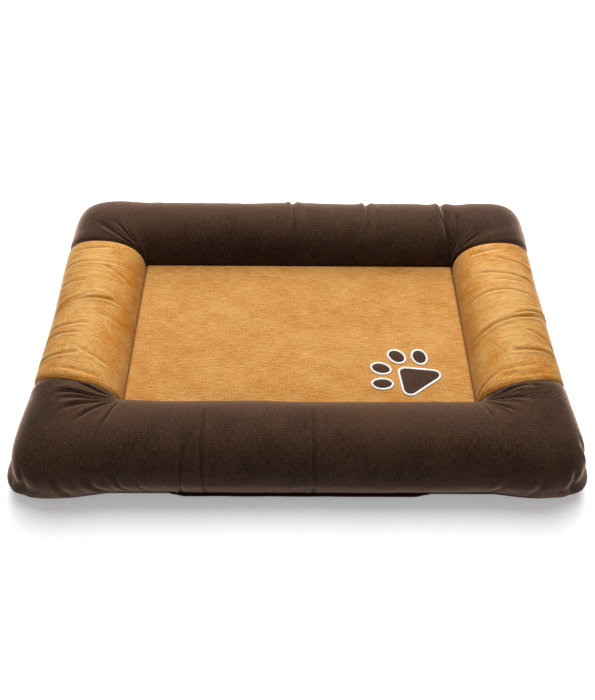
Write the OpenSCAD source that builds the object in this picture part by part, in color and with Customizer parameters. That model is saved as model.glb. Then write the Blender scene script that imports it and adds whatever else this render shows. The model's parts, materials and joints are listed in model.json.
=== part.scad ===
// Pet cushion bed: four stuffed bolsters round a padded sleeping well.
// +X is the long side, the front is at -Y, and the base rests on Z = 0.

/* [Overall] */
// Overall width, across the left and right bolsters
bed_w = 1050; // [800:10:1300]
// Overall depth, across the front and back bolsters
bed_d = 756; // [600:2:960]
// Height of the bolsters above the floor
bolster_h = 147; // [115:1:190]
// Width of a bolster, from its inner seam to its outermost line
bolster_w = 176; // [145:1:215]
// Height of the sleeping surface, where the bolsters are widest
seam_z = 73; // [56:1:92]

/* [Bolster shape] */
// Fullness of the section above the seam, 2 is an ellipse
crown_power = 2.3; // [2:0.1:3]
// Distance that the base seam lies inside the outermost line
base_inset = 26; // [18:1:40]
// Squareness of the outer corners in plan, 2 is round
corner_power = 5.5; // [3:0.5:7]
// Radius of the well's corners
well_r = 6; // [6:1:20]

/* [Fabric and filling] */
// Thickness of the velour covers
cover_t = 2; // [1:0.5:3]
// Thickness of the base fabric
base_t = 2.5; // [1.5:0.5:4]
// Thickness of the sleeping panel
panel_t = 2; // [1:0.5:4]
// Thickness of the partition walls
wall_t = 1.2; // [0.8:0.2:2]
// Slack between the covers and the filling inside them
fill_gap = 1; // [0.5:0.5:3]

/* [Paw applique] */
// Distance from the right inner seam to the heel pad's centre
paw_from_right = 117; // [100:1:200]
// Distance from the front inner seam to the heel pad's centre
paw_from_front = 71; // [65:1:150]
// Turn of the paw, anticlockwise from pointing to the back
paw_turn = 43; // [0:1:90]
// Half the distance between the two rear corners of the heel pad
heel_half_w = 30.5; // [26:0.5:34]
// Distance of the heel pad's rear corners behind its centre
heel_rear = 14; // [10:0.5:18]
// Distance of the heel pad's front corner ahead of its centre
heel_front = 25; // [20:0.5:27]
// Corner radius of the heel pad
heel_r = 11; // [8:0.5:13]
// Length of a toe pad
toe_l = 32; // [26:0.5:34]
// Width of a toe pad
toe_w = 21; // [16:0.5:23]
// Width of the satin stitch round each pad
satin_w = 5; // [3:0.5:6]
// Thickness of the pads
patch_t = 1; // [0.6:0.1:2]
// Height of the satin stitch above the sleeping panel
satin_h = 1.8; // [1.2:0.1:3]

/* [Zip] */
// Length of the zip between its end stops
zip_l = 450; // [300:10:520]
// Height of the zip's centre line above the floor
zip_z = 12.5; // [11:0.5:14]
// Height of the underside of the flap over the zip
flap_z = 20.5; // [19:0.5:23]
// Thickness of the flap
flap_t = 1.5; // [1:0.5:2.5]
// Spare length of the flap past the pull tab's tip, at each end of the zip
flap_spare = 2; // [1:0.5:12]
// Thickness of the zip tapes
tape_t = 0.8; // [0.6:0.1:1.2]
// Diameter of a zip coil
coil_d = 2; // [1.6:0.1:2.4]
// Gap between the two coils, where the slider's neck runs
coil_gap = 1.2; // [1.2:0.1:1.6]
// Length of the slider
slider_l = 11; // [9:0.5:14]
// Height of the slider
slider_h = 8.4; // [8:0.2:9]
// Thickness of the slider's plates
slider_t = 1; // [0.8:0.1:1.4]
// Clearance between the slider and the zip
slider_gap = 0.4; // [0.3:0.05:0.5]
// Radius of the pull tab's pin
pin_r = 0.8; // [0.6:0.05:1]
// Radial clearance round the pin
pin_gap = 0.05; // [0.02:0.01:0.1]
// Length of the pull tab from its pin
pull_l = 22; // [14:1:28]
// Width of the pull tab
pull_w = 6; // [4:0.5:7]
// Thickness of the pull tab
pull_t = 1.2; // [0.8:0.1:1.6]

/* [Hidden] */

brown = "#4a342b";
tan_velour = "#c98d45";
base_brown = "#2b211d";
wadding = "#efece6";
foam = "#e9dfc4";
satin_white = "#f4f1ea";
nickel = "#b9bab8";

well_w = bed_w - 2 * bolster_w;
well_d = bed_d - 2 * bolster_w;
run_x = well_w / 2 - well_r;      // where the front and back runs end and the corners start
run_y = well_d / 2 - well_r;      // where the side runs end and the corners start
base_x = bolster_w - base_inset;  // base seam, measured out from the inner seam
arch_steps = 18;                  // facets over a bolster's crown
foot_steps = 8;                   // facets from the widest line down to the base seam
corner_steps = 9;                 // facets round a corner
foot_power = 2;
square_from = 0.4;                // share of the bolster's width where a corner starts to square
cut = 1;                          // spare depth of a cutting tool

// ---- section of a bolster, as [distance out from the inner seam, height] ----

function power(v, p) = sign(v) * pow(abs(v), p);

// Crown from the inner seam over the top to the widest line, drawn in by t.
function crown(t) = [
    for (i = [0 : arch_steps]) let (a = 180 * i / arch_steps)
        [bolster_w / 2 - (bolster_w / 2 - t) * power(cos(a), 2 / crown_power),
         seam_z + (bolster_h - t - seam_z) * power(sin(a), 2 / crown_power)]
];

// Foot from below the widest line down to the base seam, drawn in by t, ending at height low.
function foot(t, low) = [
    for (i = [1 : foot_steps]) let (a = 90 * i / foot_steps)
        [base_x - t + base_inset * power(cos(a), 2 / foot_power),
         low + (seam_z - low) * (1 - power(sin(a), 2 / foot_power))]
];

function reverse(list) = [for (i = [len(list) - 1 : -1 : 0]) list[i]];

function cover_section() = concat(
    [[0, seam_z - panel_t]], crown(0), foot(0, base_t),
    reverse(foot(cover_t, base_t)), reverse(crown(cover_t)), [[cover_t, seam_z - panel_t]]
);

function fill_section() = let (t = cover_t + fill_gap) concat(
    [[t, base_t]], crown(t), foot(t, base_t)
);

// ---- plan of a corner ----

function ease(v) = let (c = min(max(v, 0), 1)) c * c * (3 - 2 * c);

// Squareness at x out from the inner seam: round at the well, squarer towards the outside.
function squareness(x) =
    2 + (corner_power - 2) * ease((x / bolster_w - square_from) / (1 - square_from));

// Plan offset from a corner's centre, for x out from the inner seam at angle a.
function corner_offset(x, a) = let (p = 2 / squareness(x))
    (well_r + x) * [power(cos(a), p), power(sin(a), p)];

// Stations of a front or back bolster: [end of the bed (-1 left, 1 right), corner angle].
stations = concat(
    [for (i = [0 : corner_steps]) [-1, 90 * i / corner_steps]],
    [for (i = [corner_steps : -1 : 0]) [1, 90 * i / corner_steps]]
);

function placed(p, station, side) = let (o = corner_offset(p.x, station[1]))
    [station[0] * (run_x + o.x), side * (run_y + o.y), p.y];

// Bolster that runs along the front (side = -1) or the back (side = 1) and round both corners.
module swept_bolster(section, side) {
    n = len(section);
    m = len(stations);
    points = [for (s = stations) for (p = section) placed(p, s, side)];
    sides = [
        for (j = [0 : m - 2]) for (i = [0 : n - 1]) let (
            a = j * n + i, b = j * n + (i + 1) % n, c = b + n, d = a + n
        ) each [[a, b, c], [a, c, d]]
    ];
    // Each end is strips between a point and its opposite number, as the section may be hollow.
    last = (m - 1) * n;
    ends = [
        for (a = [0 : n / 2 - 2]) let (b = a + 1, c = n - 1 - b, d = n - 1 - a)
            each [[d, c, b, a], [last + a, last + b, last + c, last + d]]
    ];
    faces = concat(sides, ends);
    polyhedron(points, side < 0 ? [for (f = faces) reverse(f)] : faces);
}

// Bolster that runs straight along the left (side = -1) or the right (side = 1).
module straight_bolster(section, side) {
    mirror([side < 0 ? 1 : 0, 0, 0])
        translate([well_w / 2, run_y, 0])
            rotate([90, 0, 0])
                linear_extrude(2 * run_y)
                    polygon(section);
}

// Space under the flap, where the front bolster gives way to the zip, from out_from outwards.
module zip_recess(out_from, top) {
    depth = bolster_w + cut - out_from;
    translate([-flap_end, -well_d / 2 - out_from - depth, base_t - cut])
        cube([2 * flap_end, depth, top - base_t + cut]);
}

module front_bolster_cover() {
    color(brown) difference() {
        swept_bolster(cover_section(), -1);
        zip_recess(base_x - cover_t - cut, flap_z + flap_t);
    }
}

module back_bolster_cover() {
    color(brown) swept_bolster(cover_section(), 1);
}

module left_bolster_cover() {
    color(tan_velour) straight_bolster(cover_section(), -1);
}

module right_bolster_cover() {
    color(tan_velour) straight_bolster(cover_section(), 1);
}

// ---- filling ----

module front_bolster_fill() {
    color(wadding) difference() {
        swept_bolster(fill_section(), -1);
        zip_recess(zip_out - slider_gap - slider_t - 2 * fill_gap, flap_z + flap_t + fill_gap);
    }
}

module back_bolster_fill() {
    color(wadding) swept_bolster(fill_section(), 1);
}

module left_bolster_fill() {
    color(wadding) straight_bolster(fill_section(), -1);
}

module right_bolster_fill() {
    color(wadding) straight_bolster(fill_section(), 1);
}

// Plan of the well, drawn in by t on every side.
module well_plan(t) {
    r = well_r - t;
    w = well_w / 2 - t;
    d = well_d / 2 - t;
    square([2 * w, 2 * (d - r)], center = true);
    square([2 * (w - r), 2 * d], center = true);
    for (x = [-1, 1], y = [-1, 1])
        translate([x * (w - r), y * (d - r)]) circle(r, $fn = 48);
}

module mattress_core() {
    color(foam) translate([0, 0, base_t])
        linear_extrude(seam_z - panel_t - base_t)
            well_plan(wall_t + fill_gap);
}

// ---- panels and walls ----

module sleeping_panel() {
    color(tan_velour) translate([0, 0, seam_z - panel_t])
        linear_extrude(panel_t)
            well_plan(0);
}

module base_panel() {
    quarter = [for (i = [0 : corner_steps]) corner_offset(base_x, 90 * i / corner_steps)];
    outline = concat(
        [for (o = quarter) [run_x + o.x, run_y + o.y]],
        [for (o = reverse(quarter)) [-run_x - o.x, run_y + o.y]],
        [for (o = quarter) [-run_x - o.x, -run_y - o.y]],
        [for (o = reverse(quarter)) [run_x + o.x, -run_y - o.y]]
    );
    color(base_brown) linear_extrude(base_t) polygon(outline);
}

// One of the four walls between the core and the bolsters: the part of the ring in a window.
module partition_wall(window_min, window_size) {
    color(base_brown) translate([0, 0, base_t])
        linear_extrude(seam_z - panel_t - base_t)
            intersection() {
                difference() {
                    well_plan(0);
                    well_plan(wall_t);
                }
                translate(window_min) square(window_size);
            }
}

module front_partition_wall() {
    partition_wall([-well_w / 2 - cut, -well_d / 2 - cut], [well_w + 2 * cut, well_r + cut]);
}

module back_partition_wall() {
    partition_wall([-well_w / 2 - cut, run_y], [well_w + 2 * cut, well_r + cut]);
}

module left_partition_wall() {
    partition_wall([-well_w / 2 - cut, -run_y], [well_r + cut, 2 * run_y]);
}

module right_partition_wall() {
    partition_wall([run_x, -run_y], [well_r + cut, 2 * run_y]);
}

// ---- paw applique ----

// Toe pads: centre from the heel pad's centre, and the turn of the pad's length from +Y.
toes = [
    [[-54, 36], 50],
    [[-23, 66], 22],
    [[23, 66], -22],
    [[54, 36], -50]
];
heel_corners = [[-heel_half_w, -heel_rear], [heel_half_w, -heel_rear], [0, heel_front]];
outline_steps = 40;

function ellipse_points(a, b) =
    [for (i = [0 : outline_steps - 1]) let (t = 360 * i / outline_steps) [a * cos(t), b * sin(t)]];

// Angle of the outward normal of the triangle's side from corner i to the next one.
function side_normal(corners, i) =
    let (e = corners[(i + 1) % 3] - corners[i % 3]) atan2(-e.x, e.y);

// Triangle with its corners rounded by arcs of radius r round the given points.
function rounded_triangle(corners, r) = [
    for (i = [0 : 2]) let (
        from = side_normal(corners, i + 2),
        turn = (side_normal(corners, i) - from + 720) % 360
    )
        for (k = [0 : 8]) let (a = from + turn * k / 8) corners[i] + r * [cos(a), sin(a)]
];

module on_paw(height) {
    translate([well_w / 2 - paw_from_right, paw_from_front - well_d / 2, seam_z])
        rotate(paw_turn)
            linear_extrude(height)
                children();
}

module heel_plan(grow) {
    polygon(rounded_triangle(heel_corners, heel_r + grow));
}

module toe_plan(i, grow) {
    translate(toes[i][0]) rotate(toes[i][1])
        polygon(ellipse_points(toe_w / 2 + grow, toe_l / 2 + grow));
}

module paw_heel_patch() {
    color(brown) on_paw(patch_t) heel_plan(0);
}

module paw_toe_patch(i) {
    color(brown) on_paw(patch_t) toe_plan(i, 0);
}

module paw_heel_border() {
    color(satin_white) on_paw(satin_h) difference() {
        heel_plan(satin_w);
        heel_plan(0);
    }
}

module paw_toe_border(i) {
    color(satin_white) on_paw(satin_h) difference() {
        toe_plan(i, satin_w);
        toe_plan(i, 0);
    }
}

// ---- zip in the front base seam ----

zip_out = base_x - cover_t - cut;            // back of the tapes, out from the inner seam
tape_front = tape_t;                         // all depths below are in front of the tapes' back
coil_bed = 0.3;                              // flat that seats a coil on its tape
coil_mid = tape_front + coil_d / 2 - coil_bed;
coil_z = (coil_gap + coil_d) / 2;            // coil centre above or below the zip's centre line
tape_edge = coil_z - coil_d / 4;             // inner edge of a tape, from the centre line
plate_back = tape_front + coil_d - coil_bed + slider_gap;
plate_front = plate_back + slider_t;
pin_out = plate_front + pin_r + pull_t;      // pin's centre
lug_r = pin_r + 1;
lug_t = 1;
knuckle_h = 2.2;
knuckle_r = pin_r + 0.7;
lug_gap = 0.2;                               // clearance between the knuckle and each lug
stop_l = 3;
stop_gap = 0.5;                              // slider's clearance from a stop at the end of travel
slider_x = zip_l / 2 - slider_l / 2 - stop_gap;
flap_end = slider_x + pull_l + flap_spare;   // the tab points past either end of the zip
neck_l = 4;
neck_t = coil_gap - 2 * 0.3;
tab_start = lug_r + 1;                       // where the tab widens, clear of the lugs

// Frame of the zip: X along it, Y inwards to the bed, Z up, origin at the tapes' back.
module on_zip() {
    translate([0, -well_d / 2 - zip_out, zip_z]) children();
}

// Block in the zip's frame: from depth near to depth far in front of the tapes' back.
module zip_block(x, near, far, z) {
    translate([x[0], -far, z[0]]) cube([x[1] - x[0], far - near, z[1] - z[0]]);
}

module zip_flap() {
    rise = (flap_z + flap_t - base_t) / (seam_z - base_t);
    reach = base_x + base_inset * power(cos(asin(power(1 - rise, foot_power / 2))), 2 / foot_power);
    back = zip_out - tape_t;
    color(brown) translate([-flap_end, -well_d / 2 - reach, flap_z])
        cube([2 * flap_end, reach - back, flap_t]);
}

module zip_tape_upper() {
    color(brown) on_zip()
        zip_block([-zip_l / 2 - stop_l, zip_l / 2 + stop_l], 0, tape_front,
                  [tape_edge, flap_z - zip_z]);
}

module zip_tape_lower() {
    color(brown) on_zip()
        zip_block([-zip_l / 2 - stop_l, zip_l / 2 + stop_l], 0, tape_front,
                  [base_t - zip_z, -tape_edge]);
}

// Coil on one tape, with a flat where it is sewn down.
module zip_coil(side) {
    color(base_brown) on_zip() difference() {
        translate([-zip_l / 2, -coil_mid, side * coil_z])
            rotate([0, 90, 0]) cylinder(zip_l, coil_d / 2, coil_d / 2, $fn = 32);
        zip_block([-zip_l / 2 - cut, zip_l / 2 + cut], -cut, tape_front,
                  [side * coil_z - coil_d, side * coil_z + coil_d]);
    }
}

module zip_top_stops() {
    color(nickel) on_zip() for (side = [-1, 1])
        zip_block([zip_l / 2, zip_l / 2 + stop_l], tape_front, tape_front + coil_d,
                  [side * coil_z - coil_d / 2, side * coil_z + coil_d / 2]);
}

module zip_bottom_stop() {
    color(nickel) on_zip()
        zip_block([-zip_l / 2 - stop_l, -zip_l / 2], tape_front, tape_front + coil_d,
                  [-coil_z - coil_d / 2, coil_z + coil_d / 2]);
}

module slider_lug(z_low) {
    difference() {
        union() {
            translate([0, -pin_out, z_low]) cylinder(lug_t, lug_r, lug_r, $fn = 32);
            zip_block([-lug_r, lug_r], plate_front, pin_out, [z_low, z_low + lug_t]);
        }
        translate([0, -pin_out, z_low - cut])
            cylinder(lug_t + 2 * cut, pin_r + pin_gap, pin_r + pin_gap, $fn = 32);
    }
}

module zip_slider() {
    half_l = slider_l / 2;
    half_h = slider_h / 2;
    flange_from = coil_z + coil_d / 2 + slider_gap;
    color(nickel) on_zip() translate([slider_x, 0, 0]) {
        zip_block([-half_l, half_l], plate_back, plate_front, [-half_h, half_h]);
        zip_block([-half_l, half_l], -slider_gap - slider_t, -slider_gap, [-half_h, half_h]);
        zip_block([half_l - neck_l, half_l], -slider_gap, plate_back, [-neck_t / 2, neck_t / 2]);
        for (side = [0, 1]) mirror([0, 0, side])
            zip_block([-half_l, half_l], tape_front + slider_gap, plate_back,
                      [flange_from, half_h]);
        slider_lug(knuckle_h / 2 + lug_gap);
        slider_lug(-knuckle_h / 2 - lug_gap - lug_t);
    }
}

module zip_pull_tab() {
    pin_half = knuckle_h / 2 + lug_gap + lug_t;
    color(nickel) on_zip() translate([slider_x, -pin_out, 0]) {
        translate([0, 0, -pin_half]) cylinder(2 * pin_half, pin_r, pin_r, $fn = 32);
        translate([0, 0, -knuckle_h / 2]) cylinder(knuckle_h, knuckle_r, knuckle_r, $fn = 32);
        translate([-tab_start, -pull_t / 2, -knuckle_h / 2]) cube([tab_start, pull_t, knuckle_h]);
        translate([-pull_l + pull_w / 2, -pull_t / 2, -pull_w / 2])
            cube([pull_l - pull_w / 2 - tab_start, pull_t, pull_w]);
        translate([-pull_l + pull_w / 2, pull_t / 2, 0])
            rotate([90, 0, 0]) cylinder(pull_t, pull_w / 2, pull_w / 2, $fn = 32);
    }
}

front_bolster_cover();
back_bolster_cover();
left_bolster_cover();
right_bolster_cover();
sleeping_panel();
base_panel();
front_partition_wall();
back_partition_wall();
left_partition_wall();
right_partition_wall();
front_bolster_fill();
back_bolster_fill();
left_bolster_fill();
right_bolster_fill();
mattress_core();
paw_heel_patch();
paw_toe_patch(0);  // paw_toe_patch_1
paw_toe_patch(1);  // paw_toe_patch_2
paw_toe_patch(2);  // paw_toe_patch_3
paw_toe_patch(3);  // paw_toe_patch_4
paw_heel_border();
paw_toe_border(0);  // paw_toe_border_1
paw_toe_border(1);  // paw_toe_border_2
paw_toe_border(2);  // paw_toe_border_3
paw_toe_border(3);  // paw_toe_border_4
zip_flap();
zip_tape_upper();
zip_tape_lower();
zip_coil(1);  // zip_coil_upper
zip_coil(-1);  // zip_coil_lower
zip_top_stops();
zip_bottom_stop();
zip_slider();
zip_pull_tab();
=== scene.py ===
"""Pet cushion bed: the visible upholstery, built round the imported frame.

The frame gives every place and size. Front is -Y, the long side runs along X, and the floor is Z = 0.
"""

from __future__ import annotations

import json
import logging
import math
from dataclasses import dataclass, field, replace
from enum import Enum
from typing import ClassVar

import bmesh
import bpy
import numpy as np
from mathutils import Matrix, Vector, geometry

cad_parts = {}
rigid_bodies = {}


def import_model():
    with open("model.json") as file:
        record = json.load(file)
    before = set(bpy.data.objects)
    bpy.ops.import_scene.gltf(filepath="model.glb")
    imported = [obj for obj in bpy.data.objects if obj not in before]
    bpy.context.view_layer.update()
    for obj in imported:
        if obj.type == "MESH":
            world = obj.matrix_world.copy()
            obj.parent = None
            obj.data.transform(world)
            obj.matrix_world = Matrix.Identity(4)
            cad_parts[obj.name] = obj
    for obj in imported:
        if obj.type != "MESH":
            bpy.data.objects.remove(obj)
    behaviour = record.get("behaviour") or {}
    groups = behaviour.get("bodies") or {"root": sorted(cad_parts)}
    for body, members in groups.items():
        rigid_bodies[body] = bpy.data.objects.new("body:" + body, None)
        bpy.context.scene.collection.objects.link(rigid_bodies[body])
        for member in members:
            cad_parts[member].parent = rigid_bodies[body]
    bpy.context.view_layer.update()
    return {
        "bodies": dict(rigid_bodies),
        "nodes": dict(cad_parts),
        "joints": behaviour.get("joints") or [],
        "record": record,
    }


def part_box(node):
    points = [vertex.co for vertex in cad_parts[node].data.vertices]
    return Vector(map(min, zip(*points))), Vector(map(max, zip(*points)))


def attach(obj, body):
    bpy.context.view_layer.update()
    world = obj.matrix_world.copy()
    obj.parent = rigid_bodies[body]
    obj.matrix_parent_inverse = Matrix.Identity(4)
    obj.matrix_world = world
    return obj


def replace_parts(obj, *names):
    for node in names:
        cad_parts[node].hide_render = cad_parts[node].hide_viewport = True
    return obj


LOG = logging.getLogger("pet_bed")
MM = 0.001
TINY = 1e-9
Rgb = tuple[float, float, float]


class Slot(Enum):
    """Material slots of the record that pieces take their finish from."""

    BROWN = "brown_velour"
    TAN = "tan_velour"
    PANEL = "tan_panel"
    BASE = "base_fabric"
    PATCH = "brown_patch"
    SATIN = "satin_thread"
    TAPE = "zip_tape"
    COIL = "zip_coil"
    METAL = "zip_metal"


class Edge(Enum):
    """The long sides of the bed, by the sign of Y."""

    FRONT = -1
    BACK = 1


class Flank(Enum):
    """The short sides of the bed, by the sign of X."""

    LEFT = -1
    RIGHT = 1


# ---------------------------------------------------------------- measures


@dataclass(frozen=True)
class BedPlan:
    """Sizes of the bed, in metres, read from the frame.

    Args:
        well_x: half the width of the sleeping well.
        well_y: half the depth of the sleeping well.
        run_x: half the length of the straight front and back runs.
        run_y: half the length of the side bolsters.
        bolster: width of a bolster.
        top: height of the bolsters.
        seam: height of the sleeping surface at its seam.
        base_out: distance of the base seam out from the inner seam.
        base: thickness of the base fabric.
    """

    well_x: float
    well_y: float
    run_x: float
    run_y: float
    bolster: float
    top: float
    seam: float
    base_out: float
    base: float

    @staticmethod
    def from_frame() -> "BedPlan":
        """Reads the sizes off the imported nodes.

        Returns:
            The plan of the bed.
        """
        panel_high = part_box("sleeping_panel")[1]
        side_low, side_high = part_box("right_bolster_cover")
        base_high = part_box("base_panel")[1]
        well_r = panel_high[1] - side_high[1]
        return BedPlan(
            well_x=panel_high[0],
            well_y=panel_high[1],
            run_x=panel_high[0] - well_r,
            run_y=side_high[1],
            bolster=side_high[0] - side_low[0],
            top=side_high[2],
            seam=panel_high[2],
            base_out=base_high[0] - panel_high[0],
            base=base_high[2],
        )

    @property
    def well_r(self) -> float:
        """Radius of the well's corners."""
        return self.well_x - self.run_x


def ease(value: np.ndarray) -> np.ndarray:
    """Smooth step from 0 to 1, held outside that range."""
    held = np.clip(value, 0.0, 1.0)
    return held * held * (3.0 - 2.0 * held)


def bell(distance: np.ndarray, width: float | np.ndarray) -> np.ndarray:
    """Rounded bump of height 1, about width across."""
    return np.exp(-np.square(distance / (0.5 * width)))


def fold_profile(distance: np.ndarray, width: float | np.ndarray) -> np.ndarray:
    """Section across a fold: a narrow valley of depth 1, with a ridge before it and a swell behind."""
    ridge = 0.6 * bell(distance + 0.95 * width, 1.0 * width)
    return ridge - bell(distance, width) + 0.25 * bell(distance - 1.3 * width, 1.8 * width)


class Drift:
    """Smooth random field over two coordinates, from a fixed seed."""

    SIZE = 256

    def __init__(self, seed: int) -> None:
        """Fills the lattice.

        Args:
            seed: fixes the random values.
        """
        self.table = np.random.default_rng(seed).uniform(-1.0, 1.0, (self.SIZE, self.SIZE))

    def at(self, x: np.ndarray, y: np.ndarray) -> np.ndarray:
        """Value between -1 and 1 at each point.

        Args:
            x: first coordinate, in lattice steps.
            y: second coordinate, in lattice steps.

        Returns:
            The field at each point.
        """
        x0, y0 = np.floor(x).astype(int), np.floor(y).astype(int)
        fx, fy = ease(x - x0), ease(y - y0)
        low = self.knot(x0, y0) * (1 - fx) + self.knot(x0 + 1, y0) * fx
        high = self.knot(x0, y0 + 1) * (1 - fx) + self.knot(x0 + 1, y0 + 1) * fx
        return low * (1 - fy) + high * fy

    def knot(self, i: np.ndarray, j: np.ndarray) -> np.ndarray:
        """Values at lattice points, which repeat after SIZE steps."""
        return self.table[i % self.SIZE, j % self.SIZE]


@dataclass(frozen=True)
class BolsterSection:
    """Round section of a stuffed bolster, as (distance out from the inner seam, height).

    Args:
        plan: the bed's sizes.
        crown_power: fullness of the crown, where 2 is an ellipse.
        foot_power: how late the cloth below the widest line turns in, where 1 is a straight taper.
        tuck: depth of the inner seam below the sleeping surface.
        rows: points over the visible part.
        hidden: points along the underside and up the inner wall.
    """

    plan: BedPlan
    crown_power: float = 2.3
    foot_power: float = 1.4
    tuck: float = 9 * MM
    rows: int = 72
    hidden: int = 12

    def visible(self) -> tuple[np.ndarray, np.ndarray]:
        """The part from the inner seam over the crown to the base seam, evenly spaced.

        Returns:
            The points, and the distance of each along the cloth.
        """
        plan, p = self.plan, 2.0 / self.crown_power
        half = plan.bolster / 2
        a = np.linspace(0, math.pi, 240)
        crown = np.stack(
            [
                half - half * np.sign(np.cos(a)) * np.abs(np.cos(a)) ** p,
                plan.seam + (plan.top - plan.seam) * np.sin(a).clip(0) ** p,
            ],
            1,
        )
        down = np.linspace(0, 1, 60)[1:]
        foot = np.stack(
            [
                plan.bolster - (plan.bolster - plan.base_out) * down**self.foot_power,
                plan.seam - (plan.seam - plan.base) * down,
            ],
            1,
        )
        start = np.array([[0.0, plan.seam - self.tuck]])
        path = np.concatenate([start, crown, foot])
        step = np.linalg.norm(np.diff(path, axis=0), axis=1)
        along = np.concatenate([[0.0], np.cumsum(step)])
        even = np.linspace(0, along[-1], self.rows)
        return np.stack([np.interp(even, along, path[:, k]) for k in (0, 1)], 1), even

    def underside(self) -> np.ndarray:
        """The hidden part, back along the floor and up the inner wall.

        Returns:
            The points, in order on from the visible part's last.
        """
        plan = self.plan
        back = np.linspace(plan.base_out, 2 * MM, self.hidden - 3)[1:]
        floor = np.stack([back, np.full_like(back, plan.base)], 1)
        wall_z = np.linspace(plan.base, plan.seam - self.tuck, 5)[1:-1]
        wall = np.stack([np.full_like(wall_z, 1.5 * MM), wall_z], 1)
        return np.concatenate([floor, wall])


# ---------------------------------------------------------------- meshes


def new_object(name: str, mesh: bpy.types.Mesh) -> bpy.types.Object:
    """Links a mesh into the scene as an object at the origin.

    Args:
        name: the object's name.
        mesh: the mesh to show.

    Returns:
        The object.
    """
    obj = bpy.data.objects.new(name, mesh)
    bpy.context.scene.collection.objects.link(obj)
    return obj


def mesh_from(name: str, points: np.ndarray, faces: list[tuple[int, ...]]) -> bpy.types.Mesh:
    """Makes a smooth-shaded mesh.

    Args:
        name: the mesh's name.
        points: vertex places, one row each.
        faces: vertex numbers of each face.

    Returns:
        The mesh.
    """
    mesh = bpy.data.meshes.new(name)
    mesh.from_pydata(points.tolist(), [], faces)
    mesh.polygons.foreach_set("use_smooth", [True] * len(mesh.polygons))
    mesh.update()
    return mesh


def ring_faces(rings: int, size: int) -> list[tuple[int, ...]]:
    """Faces between closed rings of points that are numbered one ring after another.

    Args:
        rings: number of rings.
        size: number of points in a ring.

    Returns:
        The vertex numbers of each face.
    """
    return [
        (i * size + j, (i + 1) * size + j, (i + 1) * size + (j + 1) % size, i * size + (j + 1) % size)
        for i in range(rings - 1)
        for j in range(size)
    ]


def tube_faces(rings: int, size: int) -> list[tuple[int, ...]]:
    """Faces of a closed tube: the ones between its rings, and one across each end."""
    ends = [tuple(range(size)), tuple(range((rings - 1) * size, rings * size))[::-1]]
    return ring_faces(rings, size) + ends


def set_uv(mesh: bpy.types.Mesh, uv: np.ndarray) -> None:
    """Gives a mesh the UV map "cloth" from one pair of values a vertex.

    Args:
        mesh: the mesh.
        uv: metres along and across the cloth, one row a vertex.
    """
    layer = mesh.uv_layers.new(name="cloth")
    loops = np.empty(len(mesh.loops), dtype=np.int32)
    mesh.loops.foreach_get("vertex_index", loops)
    layer.data.foreach_set("uv", uv[loops].astype(np.float32).ravel())


def set_value(mesh: bpy.types.Mesh, values: np.ndarray, name: str) -> None:
    """Gives a mesh a number a vertex, under a name that its material reads."""
    attribute = mesh.attributes.new(name=name, type="FLOAT", domain="POINT")
    attribute.data.foreach_set("value", values.astype(np.float32).ravel())


def points_of(mesh: bpy.types.Mesh) -> np.ndarray:
    """Vertex places of a mesh, one row each.

    Args:
        mesh: the mesh to read.

    Returns:
        An array of three columns.
    """
    flat = np.empty(len(mesh.vertices) * 3, dtype=np.float64)
    mesh.vertices.foreach_get("co", flat)
    return flat.reshape(-1, 3)


def baked(obj: bpy.types.Object) -> bpy.types.Object:
    """Turns an object's evaluated shape into its plain mesh, with no modifiers left.

    Args:
        obj: the object to bake.

    Returns:
        The same object.
    """
    graph = bpy.context.evaluated_depsgraph_get()
    mesh = bpy.data.meshes.new_from_object(obj.evaluated_get(graph), depsgraph=graph)
    obj.modifiers.clear()
    old = obj.data
    obj.data = mesh
    bpy.data.meshes.remove(old)
    return obj


def face_outwards(obj: bpy.types.Object) -> bpy.types.Object:
    """Turns a closed mesh's faces outwards.

    Args:
        obj: the object to turn.

    Returns:
        The same object.
    """
    work = bmesh.new()
    work.from_mesh(obj.data)
    bmesh.ops.recalc_face_normals(work, faces=work.faces)
    work.to_mesh(obj.data)
    work.free()
    return obj


def subdivided(obj: bpy.types.Object) -> bpy.types.Object:
    """Rounds an object by subdivision and bakes the result.

    Args:
        obj: the object to round.

    Returns:
        The same object.
    """
    surface = obj.modifiers.new("rounding", "SUBSURF")
    surface.levels = surface.render_levels = 1
    surface.uv_smooth = "PRESERVE_BOUNDARIES"
    return baked(obj)


def normals_of(grid: np.ndarray) -> np.ndarray:
    """Unit normals of a grid of points, from its two directions.

    Args:
        grid: points, one row of them a column.

    Returns:
        A unit vector for each point.
    """
    across = np.gradient(grid, axis=0)
    up = np.gradient(grid, axis=1)
    normal = np.cross(across, up)
    return normal / np.maximum(np.linalg.norm(normal, axis=2, keepdims=True), TINY)


# ---------------------------------------------------------------- bolsters


def painted_crest_highlight(mesh: bpy.types.Mesh) -> np.ndarray:
    """Painted highlight at each point: how much lighter the cloth is painted where it faces up and back,
    towards the lights, as over its crest.

    Args:
        mesh: mesh of the cloth.

    Returns:
        Shares from 0, with no painted highlight, to 1.
    """
    normals = np.zeros(3 * len(mesh.vertices))
    mesh.vertex_normals.foreach_get("vector", normals)
    normals = normals.reshape(-1, 3)
    return np.minimum(normals[:, 1], 1.4 * normals[:, 2]).clip(0, 1)


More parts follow.
